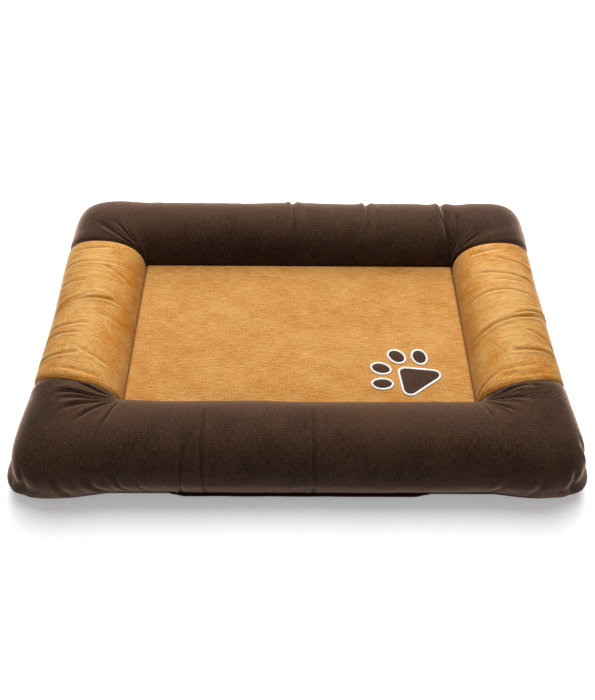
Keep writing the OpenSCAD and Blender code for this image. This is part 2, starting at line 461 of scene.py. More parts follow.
@dataclass(frozen=True)
class Fold:
    """A valley pressed into a bolster, from one place on the cloth to another.

    Args:
        at: ends of the valley along the bolster, in metres from its middle.
        over: ends of the valley across the bolster, 0 at the inner seam and 1 at the base seam.
        depth: depth of the valley in metres.
        width: width of the valley in metres, on the bolster's crest.
        bow: sideways bend of the valley at its middle, in metres.
    """

    at: tuple[float, float]
    over: tuple[float, float]
    depth: float = 4 * MM
    width: float = 10 * MM
    bow: float = 0.0

    def press(self, along: np.ndarray, share: np.ndarray) -> np.ndarray:
        """Height that the fold adds to the cloth.

        Args:
            along: place of each point along the bolster, in metres.
            share: place of each point across the bolster, 0 to 1.

        Returns:
            Height in metres, below zero in the valley.
        """
        span = self.over[1] - self.over[0]
        on = (share - self.over[0]) / span
        line = self.at[0] + (self.at[1] - self.at[0]) * on + self.bow * 4 * on * (1 - on)
        fade = ease(on / 0.22) * ease((1 - on) / 0.3)
        return self.depth * fade * fold_profile(along - line, self.width)


@dataclass(frozen=True)
class Rumple:
    """Random small wrinkles of the cloth.

    Args:
        seed: fixes the pattern.
        height: height of the wrinkles in metres.
        across: spacing of the wrinkles along the bolster in metres.
        run: length of a wrinkle across the bolster in metres.
        swell: height of the slow unevenness of the filling in metres.
    """

    seed: int
    height: float = 1.2 * MM
    across: float = 16 * MM
    run: float = 90 * MM
    swell: float = 1.8 * MM

    def press(self, along: np.ndarray, down: np.ndarray) -> np.ndarray:
        """Height that the wrinkles add, for places along and across the cloth in metres.

        Args:
            along: place of each point along the bolster.
            down: its distance across the cloth.

        Returns:
            Heights in metres.
        """
        fine, slow = Drift(self.seed), Drift(self.seed + 1)
        sway = 12 * MM * slow.at(along / 0.09 + 7.3, down / 0.11)
        crest = 1 - 2 * np.abs(fine.at((along + sway) / self.across, down / self.run))
        small = fine.at((along + sway) / (0.45 * self.across) + 31.7, down / (0.6 * self.run) + 11.1)
        patch = 0.35 + 0.65 * ease(0.5 + slow.at(along / 0.07 + 3.1, down / 0.12 + 5.9))
        swell = self.swell * slow.at(along / 0.12, down / 0.14 + 17.7)
        return self.height * patch * (crest + 0.4 * small) + swell


@dataclass(frozen=True)
class Stuffing:
    """Cloth simulation in which the filling presses a cover out and its spare length buckles.

    Args:
        axis: 0 where the tube runs along X, 1 where it runs along Y.
        run: half the length over which the cloth has spare length.
        spare: spare length of the cloth, as a share of its seams' length.
        pressure: how hard the filling presses.
        frames: steps of the simulation.
        reach: the furthest that a point may move.
    """

    axis: int
    run: float
    spare: float
    pressure: float = 3.0
    frames: int = 22
    reach: float = 9 * MM

    def settle(self, obj: bpy.types.Object, held: np.ndarray) -> np.ndarray:
        """Runs the simulation and keeps its result in the mesh.

        Args:
            obj: the closed cover.
            held: True at the points that seams and the filling hold still.

        Returns:
            How far each point moved out along its normal, in metres.
        """
        start = points_of(obj.data)
        normals = np.empty(start.size)
        obj.data.vertices.foreach_get("normal", normals)
        obj.shape_key_add(name="sewn")
        cut = start.copy()
        cut[:, self.axis] += self.spare * np.clip(start[:, self.axis], -self.run, self.run)
        obj.shape_key_add(name="cut").data.foreach_set("co", cut.ravel())
        group = obj.vertex_groups.new(name="held")
        group.add(np.nonzero(held)[0].tolist(), 1.0, "REPLACE")
        cloth = obj.modifiers.new("cloth", "CLOTH")
        cloth.settings.rest_shape_key = obj.data.shape_keys.key_blocks["cut"]
        cloth.settings.vertex_group_mass = "held"
        cloth.settings.quality = 5
        cloth.settings.mass = 0.15
        cloth.settings.tension_stiffness = cloth.settings.compression_stiffness = 12
        cloth.settings.shear_stiffness = 4
        cloth.settings.bending_stiffness = 0.35
        cloth.settings.air_damping = 3
        cloth.settings.use_pressure = True
        cloth.settings.uniform_pressure_force = self.pressure
        cloth.settings.effector_weights.gravity = 0
        cloth.collision_settings.use_collision = False
        cloth.point_cache.frame_end = self.frames
        scene = bpy.context.scene
        for frame in range(1, self.frames + 1):
            scene.frame_set(frame)
        graph = bpy.context.evaluated_depsgraph_get()
        settled = points_of(obj.evaluated_get(graph).data)
        obj.modifiers.clear()
        obj.shape_key_clear()
        obj.vertex_groups.clear()
        scene.frame_set(1)
        moved = settled - start
        length = np.linalg.norm(moved, axis=1, keepdims=True)
        moved *= self.reach * np.tanh(length / self.reach) / np.maximum(length, TINY)
        obj.data.vertices.foreach_set("co", (start + moved).ravel())
        obj.data.update()
        return (moved * normals.reshape(-1, 3)).sum(1)


@dataclass
class Bolster:
    """A stuffed tube of velour. Its kinds say where the tube runs.

    Args:
        plan: the bed's sizes.
        name: the piece's name.
        stands_for: CAD nodes that the piece replaces.
        folds: valleys that the cloth has.
        rumple: the small wrinkles.
        stuffing: the simulation that settles the cover.
        end_tuck: how far the cloth is drawn in at its two end seams.
        fill: how tightly it is stuffed; not used.
        held_rows: rows of cloth that the base seam holds.
    """

    FULL_RELIEF: ClassVar[float] = 6 * MM

    plan: BedPlan
    name: str
    stands_for: tuple[str, ...]
    folds: tuple[Fold, ...]
    rumple: Rumple
    stuffing: Stuffing
    end_tuck: float = 3.5 * MM
    fill: float = 0.7
    held_rows: int = 8

    def columns(self) -> np.ndarray:
        """Place of each column of points along the bolster, in metres from its middle."""
        raise NotImplementedError

    def place(self, along: np.ndarray, out: np.ndarray, height: np.ndarray) -> np.ndarray:
        """Puts section points into the bed.

        Args:
            along: place of each column.
            out: distance of each section point out from the inner seam.
            height: height of each section point.

        Returns:
            Points, one row of them a column.
        """
        raise NotImplementedError

    def relief(self, along: np.ndarray, down: np.ndarray) -> np.ndarray:
        """Height that folds, wrinkles and end seams add to the round shape.

        Args:
            along: place of each column.
            down: distance of each visible section point along the cloth.

        Returns:
            Heights in metres, one row a column.
        """
        t, v = np.meshgrid(along, down, indexing="ij")
        share = v / down[-1]
        height = self.rumple.press(t, v)
        for fold in self.folds:
            height = height + fold.press(t, share)
        from_end = np.minimum(t - along[0], along[-1] - t)
        calm, tucked = 14 * MM, 9 * MM
        height = height * ease(from_end / calm)
        height = height - self.end_tuck * (1 - ease(from_end / tucked))
        held = ease(share / 0.05) * ease((1 - share) / 0.04)
        return height * held

    def shaped(self) -> tuple[np.ndarray, np.ndarray, np.ndarray, np.ndarray]:
        """The visible cloth and the hidden underside.

        Returns:
            Visible points, hidden points, places along the bolster, and distances down the cloth.
        """
        section = BolsterSection(self.plan)
        seen, down = section.visible()
        hidden = section.underside()
        along = self.columns()
        round_shape = self.place(along, seen[:, 0], seen[:, 1])
        height = self.relief(along, down)
        cloth = round_shape + normals_of(round_shape) * height[..., None] * self.facing()
        return cloth, self.place(along, hidden[:, 0], hidden[:, 1]), along, down

    def facing(self) -> float:
        """1 or -1, which makes the grid's normals point out of the bolster."""
        return 1.0

    def finish_edges(self, cloth: np.ndarray, hidden: np.ndarray, along: np.ndarray) -> None:
        """Reshapes the cloth's edges in place, where a kind of bolster needs it."""

    def build(self) -> bpy.types.Object:
        """Makes the bolster as one closed mesh.

        Returns:
            The object.
        """
        cloth, hidden, along, down = self.shaped()
        self.finish_edges(cloth, hidden, along)
        grid = np.concatenate([cloth, hidden], 1)
        columns, ring = grid.shape[:2]
        faces = ring_faces(columns, ring)
        points = [grid.reshape(-1, 3)]
        uv = [self.weave(grid).reshape(-1, 2)]
        count = columns * ring
        for column, turn in ((0, 1), (columns - 1, -1)):
            edge = [column * ring + j for j in range(ring)]
            loop = grid[column]
            centre = loop.mean(0)
            for scale in (0.93, 0.55):
                points.append(centre + (loop - centre) * scale)
                uv.append(np.tile([along[column], 0.0], (ring, 1)))
                inner = [count + j for j in range(ring)]
                count += ring
                for j in range(ring):
                    k = (j + 1) % ring
                    faces.append((edge[j], edge[k], inner[k], inner[j])[::turn])
                edge = inner
            points.append(centre[None])
            uv.append(np.array([[along[column], 0.0]]))
            faces.extend((edge[j], edge[(j + 1) % ring], count)[::turn] for j in range(ring))
            count += 1
        mesh = mesh_from(self.name, np.concatenate(points), faces)
        set_uv(mesh, np.concatenate(uv))
        relief, held = np.zeros(count), np.ones(count, dtype=bool)
        relief[: columns * ring].reshape(columns, ring)[:, : len(down)] = self.relief(along, down)
        held[: columns * ring].reshape(columns, ring)[2:-2, 3 : len(down) - self.held_rows] = False
        obj = face_outwards(new_object(self.name, mesh))
        relief += self.stuffing.settle(obj, held)
        # The material paints these relief values as shade in fold valleys and as light on bulges and
        # ridges.
        set_value(mesh, relief / self.FULL_RELIEF, "relief")
        # Painted highlight: the "nap" values lighten cloth that faces up and back, towards the lights.
        set_value(mesh, painted_crest_highlight(mesh), "nap")
        return subdivided(obj)

    @staticmethod
    def weave(grid: np.ndarray) -> np.ndarray:
        """Place of each point on the cloth, whose ribs stay level round a corner.

        Args:
            grid: points, one row of them a column.

        Returns:
            Metres along the tube and across it.
        """
        along = np.linalg.norm(np.diff(grid, axis=0), axis=2)
        run = np.concatenate([np.zeros((1, grid.shape[1])), np.cumsum(along, axis=0)])
        across = np.linalg.norm(np.diff(grid[:, :, 1:], axis=1), axis=2)
        down = np.concatenate([np.zeros((grid.shape[0], 1)), np.cumsum(across, axis=1)], 1)
        return np.stack([run - run[-1] / 2, down], 2)


@dataclass
class CornerBolster(Bolster):
    """The front or back bolster, which runs along the bed and round both of its corners.

    Args:
        edge: front or back.
        corner_power: squareness of the corner's outer line in plan, where 2 is round.
        square_from: share of the bolster's width where the corner starts to square.
        swell: shares by which the left and right corners bulge outwards.
        sag: shares by which a corner spreads further, along and across, below its widest line.
        lift: rise of the crest at a corner.
        seam_shift: shift along Y of the side seam, at the inner seam and at the widest line.
        step: spacing of the columns.
        lip: the flap's half length, height and inner limit, where the base seam holds a zip.
    """

    TUCK_ROWS: ClassVar[int] = 10

    edge: Edge = Edge.FRONT
    corner_power: float = 5.5
    square_from: float = 0.4
    swell: tuple[float, float] = (0.0, 0.0)
    sag: tuple[float, float] = (0.0, 0.0)
    lift: float = 0.0
    seam_shift: tuple[float, float] = (0.0, 0.0)
    step: float = 4 * MM
    lip: tuple[float, float, float] | None = None

    def facing(self) -> float:
        """The grid runs from left to right, so its normals point out at the back only."""
        return float(self.edge.value)

    @property
    def corner_run(self) -> float:
        """Length of a corner, measured along the bolster's crest."""
        return (self.plan.well_r + self.plan.bolster / 2) * math.pi / 2

    def columns(self) -> np.ndarray:
        """Columns along the run and round both corners.

        Returns:
            Places in metres from the bolster's middle.
        """
        run = np.linspace(-self.plan.run_x, self.plan.run_x, round(2 * self.plan.run_x / self.step) + 1)
        turn = self.corner_run * np.linspace(0, 1, round(1.75 * self.corner_run / self.step) + 1)[1:]
        return np.concatenate([run[0] - turn[::-1], run, run[-1] + turn])

    def place(self, along: np.ndarray, out: np.ndarray, height: np.ndarray) -> np.ndarray:
        """Puts section points along the run, or round a corner that squares towards its outside.

        Args:
            along: place of each column.
            out: distance of each section point out from the inner seam.
            height: height of each section point.

        Returns:
            Points, one row of them a column.
        """
        plan = self.plan
        t, x = np.meshgrid(along, out, indexing="ij")
        z = np.broadcast_to(height, t.shape)
        past = np.clip((np.abs(t) - plan.run_x) / self.corner_run, 0, 1)
        angle = (1 - past) * math.pi / 2
        squared = ease((x / plan.bolster - self.square_from) / (1 - self.square_from))
        power = 2 + (self.corner_power - 2) * squared
        cos, sin = np.abs(np.cos(angle)), np.abs(np.sin(angle))
        reach = (plan.well_r + x) * (cos**power + sin**power) ** (-1 / power)
        end = np.sign(t)
        share = x / plan.bolster
        middle = np.sin(past * math.pi) ** 2
        low = middle * share * ease((plan.seam - z) / (0.75 * (plan.seam - plan.base)))
        reach = reach * (1 + np.where(end < 0, self.swell[0], self.swell[1]) * middle * share)
        z = z + self.lift * middle * ease((z - plan.seam) / (plan.top - plan.seam))
        shift = self.seam_shift[0] + (self.seam_shift[1] - self.seam_shift[0]) * share**1.5
        px = np.clip(t, -plan.run_x, plan.run_x) + end * reach * cos * (1 + self.sag[0] * low)
        py = self.edge.value * (plan.run_y + reach * sin * (1 + self.sag[1] * low))
        py = py + shift * ease((past - 0.25) / 0.75)
        return np.stack([px, py, z], 2)

    def finish_edges(self, cloth: np.ndarray, hidden: np.ndarray, along: np.ndarray) -> None:
        """Turns the cloth in under the flap along the zip, in place of the base seam.

        Args:
            cloth: visible points, changed in place.
            hidden: points of the underside, changed in place.
            along: place of each column.
        """
        if self.lip is None:
            return
        half, height, inner = self.lip
        plan = self.plan
        for i in np.nonzero(np.abs(along) < half)[0]:
            past_tuck = np.arange(cloth.shape[1]) > self.TUCK_ROWS
            rows = np.nonzero((cloth[i, :, 2] < height) & past_tuck)[0]
            first = cloth[i, rows[0] - 1]
            start = np.array([along[i], first[1], height])
            corner = np.array([along[i], self.edge.value * (plan.well_y + inner), height])
            foot = np.array([along[i], corner[1], plan.base])
            lengths = np.linalg.norm(corner - start), np.linalg.norm(foot - corner)
            at = np.linspace(0, sum(lengths), len(rows))
            for row, d in zip(rows, at):
                if d < lengths[0]:
                    cloth[i, row] = start + (corner - start) * d / lengths[0]
                else:
                    cloth[i, row] = corner + (foot - corner) * (d - lengths[0]) / lengths[1]
            limit = abs(corner[1])
            too_far = np.abs(hidden[i, :, 1]) > limit
            hidden[i, too_far, 1] = self.edge.value * limit


@dataclass
class SideBolster(Bolster):
    """The left or right bolster, a straight tube between the two corner pieces.

    Args:
        flank: left or right.
        front_shift: shift along Y of the front seam, at the inner seam and at the widest line.
        back_shift: the same for the back seam.
        step: spacing of the columns.
    """

    flank: Flank = Flank.LEFT
    front_shift: tuple[float, float] = (0.0, 0.0)
    back_shift: tuple[float, float] = (0.0, 0.0)
    step: float = 3 * MM

    def facing(self) -> float:
        """The grid runs from front to back, so its normals point out on the left only."""
        return float(-self.flank.value)

    def columns(self) -> np.ndarray:
        """Columns from the front seam to the back seam."""
        run = self.plan.run_y
        return np.linspace(-run, run, round(2 * run / self.step) + 1)

    def place(self, along: np.ndarray, out: np.ndarray, height: np.ndarray) -> np.ndarray:
        """Puts section points along the side.

        Args:
            along: place of each column.
            out: distance of each section point out from the inner seam.
            height: height of each section point.

        Returns:
            Points, one row of them a column.
        """
        plan = self.plan
        t, x = np.meshgrid(along, out, indexing="ij")
        z = np.broadcast_to(height, t.shape)
        share = (x / plan.bolster) ** 1.5
        front = self.front_shift[0] + (self.front_shift[1] - self.front_shift[0]) * share
        back = self.back_shift[0] + (self.back_shift[1] - self.back_shift[0]) * share
        blend = (t / plan.run_y + 1) / 2
        py = t + front * (1 - blend) + back * blend
        return np.stack([self.flank.value * (plan.well_x + x), py, z], 2)


# ---------------------------------------------------------------- finishes


class Shade:
    """A material being made: its node tree and its surface shader."""

    def __init__(self, name: str, roughness: float) -> None:
        """Starts a material with a plain shader.

        Args:
            name: the material's name.
            roughness: roughness all over the surface.
        """
        self.material = bpy.data.materials.new(name)
        self.material.use_nodes = True
        self.nodes = self.material.node_tree.nodes
        self.links = self.material.node_tree.links
        self.surface = self.nodes["Principled BSDF"]
        self.surface.inputs["Roughness"].default_value = roughness

    def node(self, kind: str, **settings: object) -> bpy.types.ShaderNode:
        """Adds a shader node and sets its options.

        Args:
            kind: type of node, without its prefix.
            settings: its options.

        Returns:
            The node.
        """
        made = self.nodes.new("ShaderNode" + kind)
        for key, value in settings.items():
            setattr(made, key, value)
        return made

    def join(self, source: bpy.types.NodeSocket | float, target: bpy.types.NodeSocket) -> None:
        """Links a socket to an input, or sets the input to a number.

        Args:
            source: socket or number.
            target: the input.
        """
        if isinstance(source, bpy.types.NodeSocket):
            self.links.new(source, target)
        else:
            target.default_value = source

    def math(self, operation: str, *terms: bpy.types.NodeSocket | float) -> bpy.types.NodeSocket:
        """Result of an operation on sockets and numbers.

        Args:
            operation: the node's operation.
            terms: sockets and numbers, in order.

        Returns:
            The result's socket.
        """
        made = self.node("Math", operation=operation)
        for term, target in zip(terms, made.inputs):
            self.join(term, target)
        return made.outputs[0]

    def total(self, *terms: tuple[bpy.types.NodeSocket, float]) -> bpy.types.NodeSocket:
        """Sum of sockets, each multiplied by its weight, on top of one half.

        Args:
            terms: each socket with its weight.

        Returns:
            The sum's socket.
        """
        result: bpy.types.NodeSocket | float = 0.5
        for source, weight in terms:
            result = self.math("MULTIPLY_ADD", source, weight, result)
        return result

    def cloth(self) -> bpy.types.NodeSocket:
        """Place on the cloth, in metres along and across it."""
        return self.node("UVMap", uv_map="cloth").outputs["UV"]

    def solid(self) -> bpy.types.NodeSocket:
        """Place in the bed, in metres."""
        return self.node("TexCoord").outputs["Object"]

    def value(self, name: str) -> bpy.types.NodeSocket:
        """Number that the mesh carries under a name."""
        return self.node("Attribute", attribute_name=name).outputs["Fac"]

    def axis(self, place: bpy.types.NodeSocket, name: str) -> bpy.types.NodeSocket:
        """One coordinate of a place.

        Args:
            place: socket of a place.
            name: X, Y or Z.

        Returns:
            The coordinate's socket.
        """
        parts = self.node("SeparateXYZ")
        self.links.new(place, parts.inputs[0])
        return parts.outputs[name]

    def noise(
        self, place: bpy.types.NodeSocket, grain: tuple[float, float, float], detail: float = 3.0
    ) -> bpy.types.NodeSocket:
        """Soft random value about zero.

        Args:
            place: where the value is read.
            grain: size of a blotch in metres along each axis.
            detail: how much finer structure it has.

        Returns:
            The value's socket.
        """
        mapping = self.node("Mapping")
        mapping.inputs["Scale"].default_value = [1 / g for g in grain]
        self.links.new(place, mapping.inputs["Vector"])
        texture = self.node("TexNoise")
        texture.inputs["Scale"].default_value = 1.0
        texture.inputs["Detail"].default_value = detail
        self.links.new(mapping.outputs["Vector"], texture.inputs["Vector"])
        return self.math("SUBTRACT", texture.outputs["Fac"], 0.5)

    def ribs(
        self, across: bpy.types.NodeSocket, pitch: float, wander: bpy.types.NodeSocket, amount: float
    ) -> bpy.types.NodeSocket:
        """Evenly spaced ridges, from -1 to 1.

        Args:
            across: distance across the ribs, in metres.
            pitch: spacing of the ribs in metres.
            wander: value that bends the ribs.
            amount: how far it bends them, in metres.

        Returns:
            The ridges' socket.
        """
        bent = self.math("MULTIPLY_ADD", wander, amount, across)
        return self.math("SINE", self.math("MULTIPLY", bent, math.tau / pitch))

    def colour(self, dark: Rgb, light: Rgb, share: bpy.types.NodeSocket) -> None:
        """Colours the surface between two colours.

        Args:
            dark: colour at 0.
            light: colour at 1.
            share: which of them shows.
        """
        blend = self.node("Mix", data_type="RGBA", clamp_factor=True)
        self.links.new(share, blend.inputs["Factor"])
        blend.inputs["A"].default_value = (*dark, 1)
        blend.inputs["B"].default_value = (*light, 1)
        outputs = [o for o in blend.outputs if o.type == "RGBA"]
        self.links.new(outputs[0], self.surface.inputs["Base Color"])

    def bump(self, height: bpy.types.NodeSocket, distance: float, strength: float = 1.0) -> None:
        """Roughens the surface by a height, in units of a distance in metres.

        Args:
            height: height in units of the distance.
            distance: one unit, in metres.
            strength: how much of the effect shows.
        """
        made = self.node("Bump")
        made.inputs["Distance"].default_value = distance
        made.inputs["Strength"].default_value = strength
        self.links.new(height, made.inputs["Height"])
        self.links.new(made.outputs["Normal"], self.surface.inputs["Normal"])

    def sheen(self, weight: float, roughness: float, tint: Rgb) -> None:
        """Gives the surface the pale edge of standing pile.

        Args:
            weight: how strong it is.
            roughness: how far it spreads.
            tint: its colour.
        """
        self.surface.inputs["Sheen Weight"].default_value = weight
        self.surface.inputs["Sheen Roughness"].default_value = roughness
        self.surface.inputs["Sheen Tint"].default_value = (*tint, 1)

    def grow(self, place: bpy.types.NodeSocket, start: float, end: float) -> bpy.types.NodeSocket:
        """Share that grows from 0 to 1 between two places.

        Args:
            place: coordinate.
            start: where the share starts to grow.
            end: where it is whole.

        Returns:
            The share.
        """
        ramp = self.node("MapRange")
        self.links.new(place, ramp.inputs["Value"])
        ramp.inputs["From Min"].default_value, ramp.inputs["From Max"].default_value = start, end
        return ramp.outputs["Result"]

    def fade_sheen_as_shade(self, weight: float, cloth: bpy.types.NodeSocket) -> None:
        """Fades the sheen near the floor and the inner seam: painted shade where little light reaches.

        Args:
            weight: weight of the sheen elsewhere.
            cloth: place on the cloth.
        """
        # Painted shade: the sheen weight falls towards the floor and towards the inner seam.
        standing = self.math("MAXIMUM", self.grow(self.axis(self.solid(), "Z"), 0.008, 0.062), 0.12)
        standing = self.math("MULTIPLY", standing, self.grow(self.axis(cloth, "Y"), 0.010, 0.042))
        self.links.new(self.math("MULTIPLY", standing, weight), self.surface.inputs["Sheen Weight"])


@dataclass(frozen=True)
class Velour:
    """Pile fabric of the bolsters and the paw pads.

    Args:
        name: the material's name.
        dark: colour of the pile's dark specks, and of fold valleys as painted shade.
        light: colour of the standing pile, also reached on ridges and where the crest carries its painted
            highlight.
        sheen: weight, roughness and tint of the pile's pale edge.
        rib: spacing of its ribs in metres.
        rib_show: how strongly the ribs show in the colour.
        rib_height: how strongly the ribs show in the relief.
        grain: how strongly the speckle of the pile shows.
        mottle: how strongly the nap's patches show.
        painted_fold_shade: how strongly the relief is painted as shade in fold valleys and as light on
            ridges.
        painted_highlight_show: how much the painted highlight lightens cloth that faces up and back,
            towards the lights.
        pressed: whether the sheen fades near the floor and the inner seam, as painted shade.
    """

    name: str
    dark: Rgb
    light: Rgb
    sheen: tuple[float, float, Rgb]
    rib: float = 3.9 * MM
    rib_show: float = 0.1
    rib_height: float = 1.0
    grain: float = 1.0
    mottle: float = 0.5
    painted_fold_shade: float = 0.3
    painted_highlight_show: float = 1.0
    pressed: bool = True

    def make(self) -> bpy.types.Material:
        """Makes the material.

        Returns:
            The material.
        """
        shade = Shade(self.name, 0.92)
        cloth, solid = shade.cloth(), shade.solid()
        wander = shade.noise(cloth, (40 * MM, 14 * MM, 1.0))
        rows = shade.ribs(shade.axis(cloth, "Y"), self.rib, wander, 1.6 * MM)
        rubbed = shade.total((shade.noise(cloth, (30 * MM, 30 * MM, 1.0)), 1.4))
        patchy = shade.math("MULTIPLY", rows, rubbed)
        weft = shade.noise(cloth, (2.6 * MM, 13 * MM, 1.0), 3.0)
        pile = shade.noise(cloth, (3.6 * MM, 2.2 * MM, 1.0), 3.0)
        nap = shade.noise(solid, (45 * MM, 45 * MM, 45 * MM), 5.0)
        share = shade.total(
            (patchy, self.rib_show),
            (weft, 0.9 * self.grain),
            (pile, 1.1 * self.grain),
            (nap, self.mottle),
            # Painted shade and light: the relief darkens fold valleys and lightens ridges.
            (shade.value("relief"), self.painted_fold_shade),
            # Painted highlight from the "nap" values, on cloth facing up and back.
            (shade.value("nap"), self.painted_highlight_show),
        )
        shade.colour(self.dark, self.light, share)
        height = shade.total((patchy, 0.5 * self.rib_height), (pile, 1.2), (weft, 0.6))
        shade.bump(height, 0.5 * MM, 0.8)
        shade.surface.inputs["Specular IOR Level"].default_value = 0.12
        shade.sheen(*self.sheen)
        # Sheen faded low down and at the inner seam as painted shade.
        if self.pressed:
            shade.fade_sheen_as_shade(self.sheen[0], cloth)
        return shade.material


@dataclass(frozen=True)
class BrushedPile:
    """Short brushed pile of the sleeping panel, laid in streaks along the bed.

    Args:
        name: the material's name.
        dark: colour of the streaks.
        light: colour between them.
    """

    name: str
    dark: Rgb
    light: Rgb

    def make(self) -> bpy.types.Material:
        """Makes the material.

        Returns:
            The material.
        """
        shade = Shade(self.name, 0.9)
        cloth = shade.cloth()
        streak = shade.noise(cloth, (22 * MM, 3.4 * MM, 1.0), 5.0)
        fine = shade.noise(cloth, (3.6 * MM, 2.0 * MM, 1.0), 3.0)
        brushed = shade.noise(cloth, (70 * MM, 34 * MM, 1.0), 4.0)
        broad = shade.noise(cloth, (190 * MM, 120 * MM, 1.0), 2.0)
        share = shade.total((streak, 1.35), (fine, 2.2), (brushed, 0.75), (broad, 0.5))
        shade.colour(self.dark, self.light, share)
        shade.bump(shade.total((streak, 1.5), (fine, 1.0)), 0.5 * MM, 0.55)
        shade.surface.inputs["Specular IOR Level"].default_value = 0.15
        shade.sheen(0.12, 0.5, (1.0, 0.86, 0.66))
        return shade.material


@dataclass(frozen=True)
class Woven:
    """Plain woven cloth or tape.

    Args:
        name: the material's name.
        dark: colour between the threads.
        light: colour of the threads.
        thread: spacing of the threads in metres.
    """

    name: str
    dark: Rgb
    light: Rgb
    thread: float = 1.4 * MM

    def make(self) -> bpy.types.Material:
        """Makes the material.

        Returns:
            The material.
        """
        shade = Shade(self.name, 0.75)
        solid = shade.solid()
        wander = shade.noise(solid, (30 * MM, 30 * MM, 30 * MM))
        warp = shade.ribs(shade.axis(solid, "X"), self.thread, wander, 0.5 * MM)
        up = shade.math("ADD", shade.axis(solid, "Y"), shade.axis(solid, "Z"))
        weft = shade.ribs(up, self.thread, wander, 0.5 * MM)
        weave = shade.math("MULTIPLY", warp, weft)
        wear = shade.noise(solid, (60 * MM, 60 * MM, 60 * MM), 5.0)
        shade.colour(self.dark, self.light, shade.total((weave, 0.3), (wear, 0.6)))
        shade.bump(shade.total((weave, 0.5)), 0.3 * MM, 0.7)
        return shade.material


@dataclass(frozen=True)
class Thread:
    """Smooth sewing thread, slightly glossy.

    Args:
        name: the material's name.
        dark: colour in the hollows.
        light: colour of the thread.
        roughness: how matt it is.
    """

    name: str
    dark: Rgb
    light: Rgb
    roughness: float = 0.5

    def make(self) -> bpy.types.Material:
        """Makes the material.

        Returns:
            The material.
        """
        shade = Shade(self.name, self.roughness)
        solid = shade.solid()
        tone = shade.noise(solid, (6 * MM, 6 * MM, 6 * MM), 3.0)
        twist = shade.noise(solid, (0.5 * MM, 0.5 * MM, 0.5 * MM), 1.0)
        shade.colour(self.dark, self.light, shade.total((tone, 0.8), (twist, 0.8)))
        shade.bump(twist, 0.1 * MM, 0.4)
        return shade.material


@dataclass(frozen=True)
class PlatedMetal:
    """Nickel plating on the zip's cast parts, rubbed and a little dulled.

    Args:
        name: the material's name.
        dark: colour of the dulled plating.
        light: colour of the clean plating.
    """

    name: str
    dark: Rgb = (0.36, 0.35, 0.33)
    light: Rgb = (0.66, 0.65, 0.62)

    def make(self) -> bpy.types.Material:
        """Makes the material.

        Returns:
            The material.
        """
        shade = Shade(self.name, 0.3)
        solid = shade.solid()
        dull = shade.noise(solid, (4 * MM, 4 * MM, 4 * MM), 5.0)
        scratch = shade.noise(solid, (3 * MM, 0.3 * MM, 0.3 * MM), 2.0)
        shade.surface.inputs["Metallic"].default_value = 1.0
        shade.colour(self.dark, self.light, shade.total((dull, 1.2), (scratch, 0.4)))
        shade.join(shade.total((dull, 0.4), (scratch, 0.3)), shade.surface.inputs["Roughness"])
        shade.bump(scratch, 0.05 * MM, 0.5)
        return shade.material


class Wardrobe:
    """All finishes of the bed, one for each material slot."""

    def __init__(self) -> None:
        """Makes the materials."""
        brown = Velour(
            "brown_ribbed_velour", (0.0075, 0.0028, 0.0010), (0.059, 0.0285, 0.0150),
            (1.0, 0.30, (0.88, 0.60, 0.46)), rib_show=0.42, grain=1.55, mottle=0.6,
        )
        tan = Velour(
            "tan_velour", (0.345, 0.115, 0.0055), (0.475, 0.268, 0.0865),
            (0.75, 0.22, (1.0, 0.88, 0.62)), rib_show=0.05, rib_height=0.3, grain=1.6, mottle=1.3,
            painted_fold_shade=0.55, painted_highlight_show=0.3,
        )
        patch = Velour(
            "brown_patch_velour", (0.018, 0.0085, 0.0054), (0.086, 0.045, 0.030),
            (0.35, 0.35, (0.78, 0.60, 0.52)), rib=1.6 * MM, rib_show=0.1, painted_fold_shade=0.0, pressed=False,
        )
        tape = Woven("zip_tape_weave", (0.020, 0.012, 0.009), (0.065, 0.040, 0.030), 0.7 * MM)
        finishes = {
            Slot.BROWN: brown,
            Slot.TAN: tan,
            Slot.PANEL: BrushedPile("tan_panel_pile", (0.325, 0.110, 0.007), (0.507, 0.284, 0.090)),
            Slot.BASE: Woven("base_weave", (0.012, 0.008, 0.006), (0.045, 0.031, 0.024)),
            Slot.PATCH: patch,
            Slot.SATIN: Thread("satin_white_thread", (0.72, 0.69, 0.63), (0.98, 0.965, 0.94), 0.42),
            Slot.TAPE: tape,
            Slot.COIL: Thread("zip_nylon", (0.015, 0.010, 0.008), (0.050, 0.034, 0.026), 0.35),
            Slot.METAL: PlatedMetal("nickel_plate"),
        }
        self.materials = {slot: finish.make() for slot, finish in finishes.items()}

    def dress(self, piece: bpy.types.Object, slot: Slot) -> bpy.types.Object:
        """Gives a piece its only material, the finish of its slot.

        Args:
            piece: the piece.
            slot: its finish.

        Returns:
            The same piece.
        """
        piece.data.materials.clear()
        piece.data.materials.append(self.materials[slot])
        return piece


# ---------------------------------------------------------------- repeated shapes


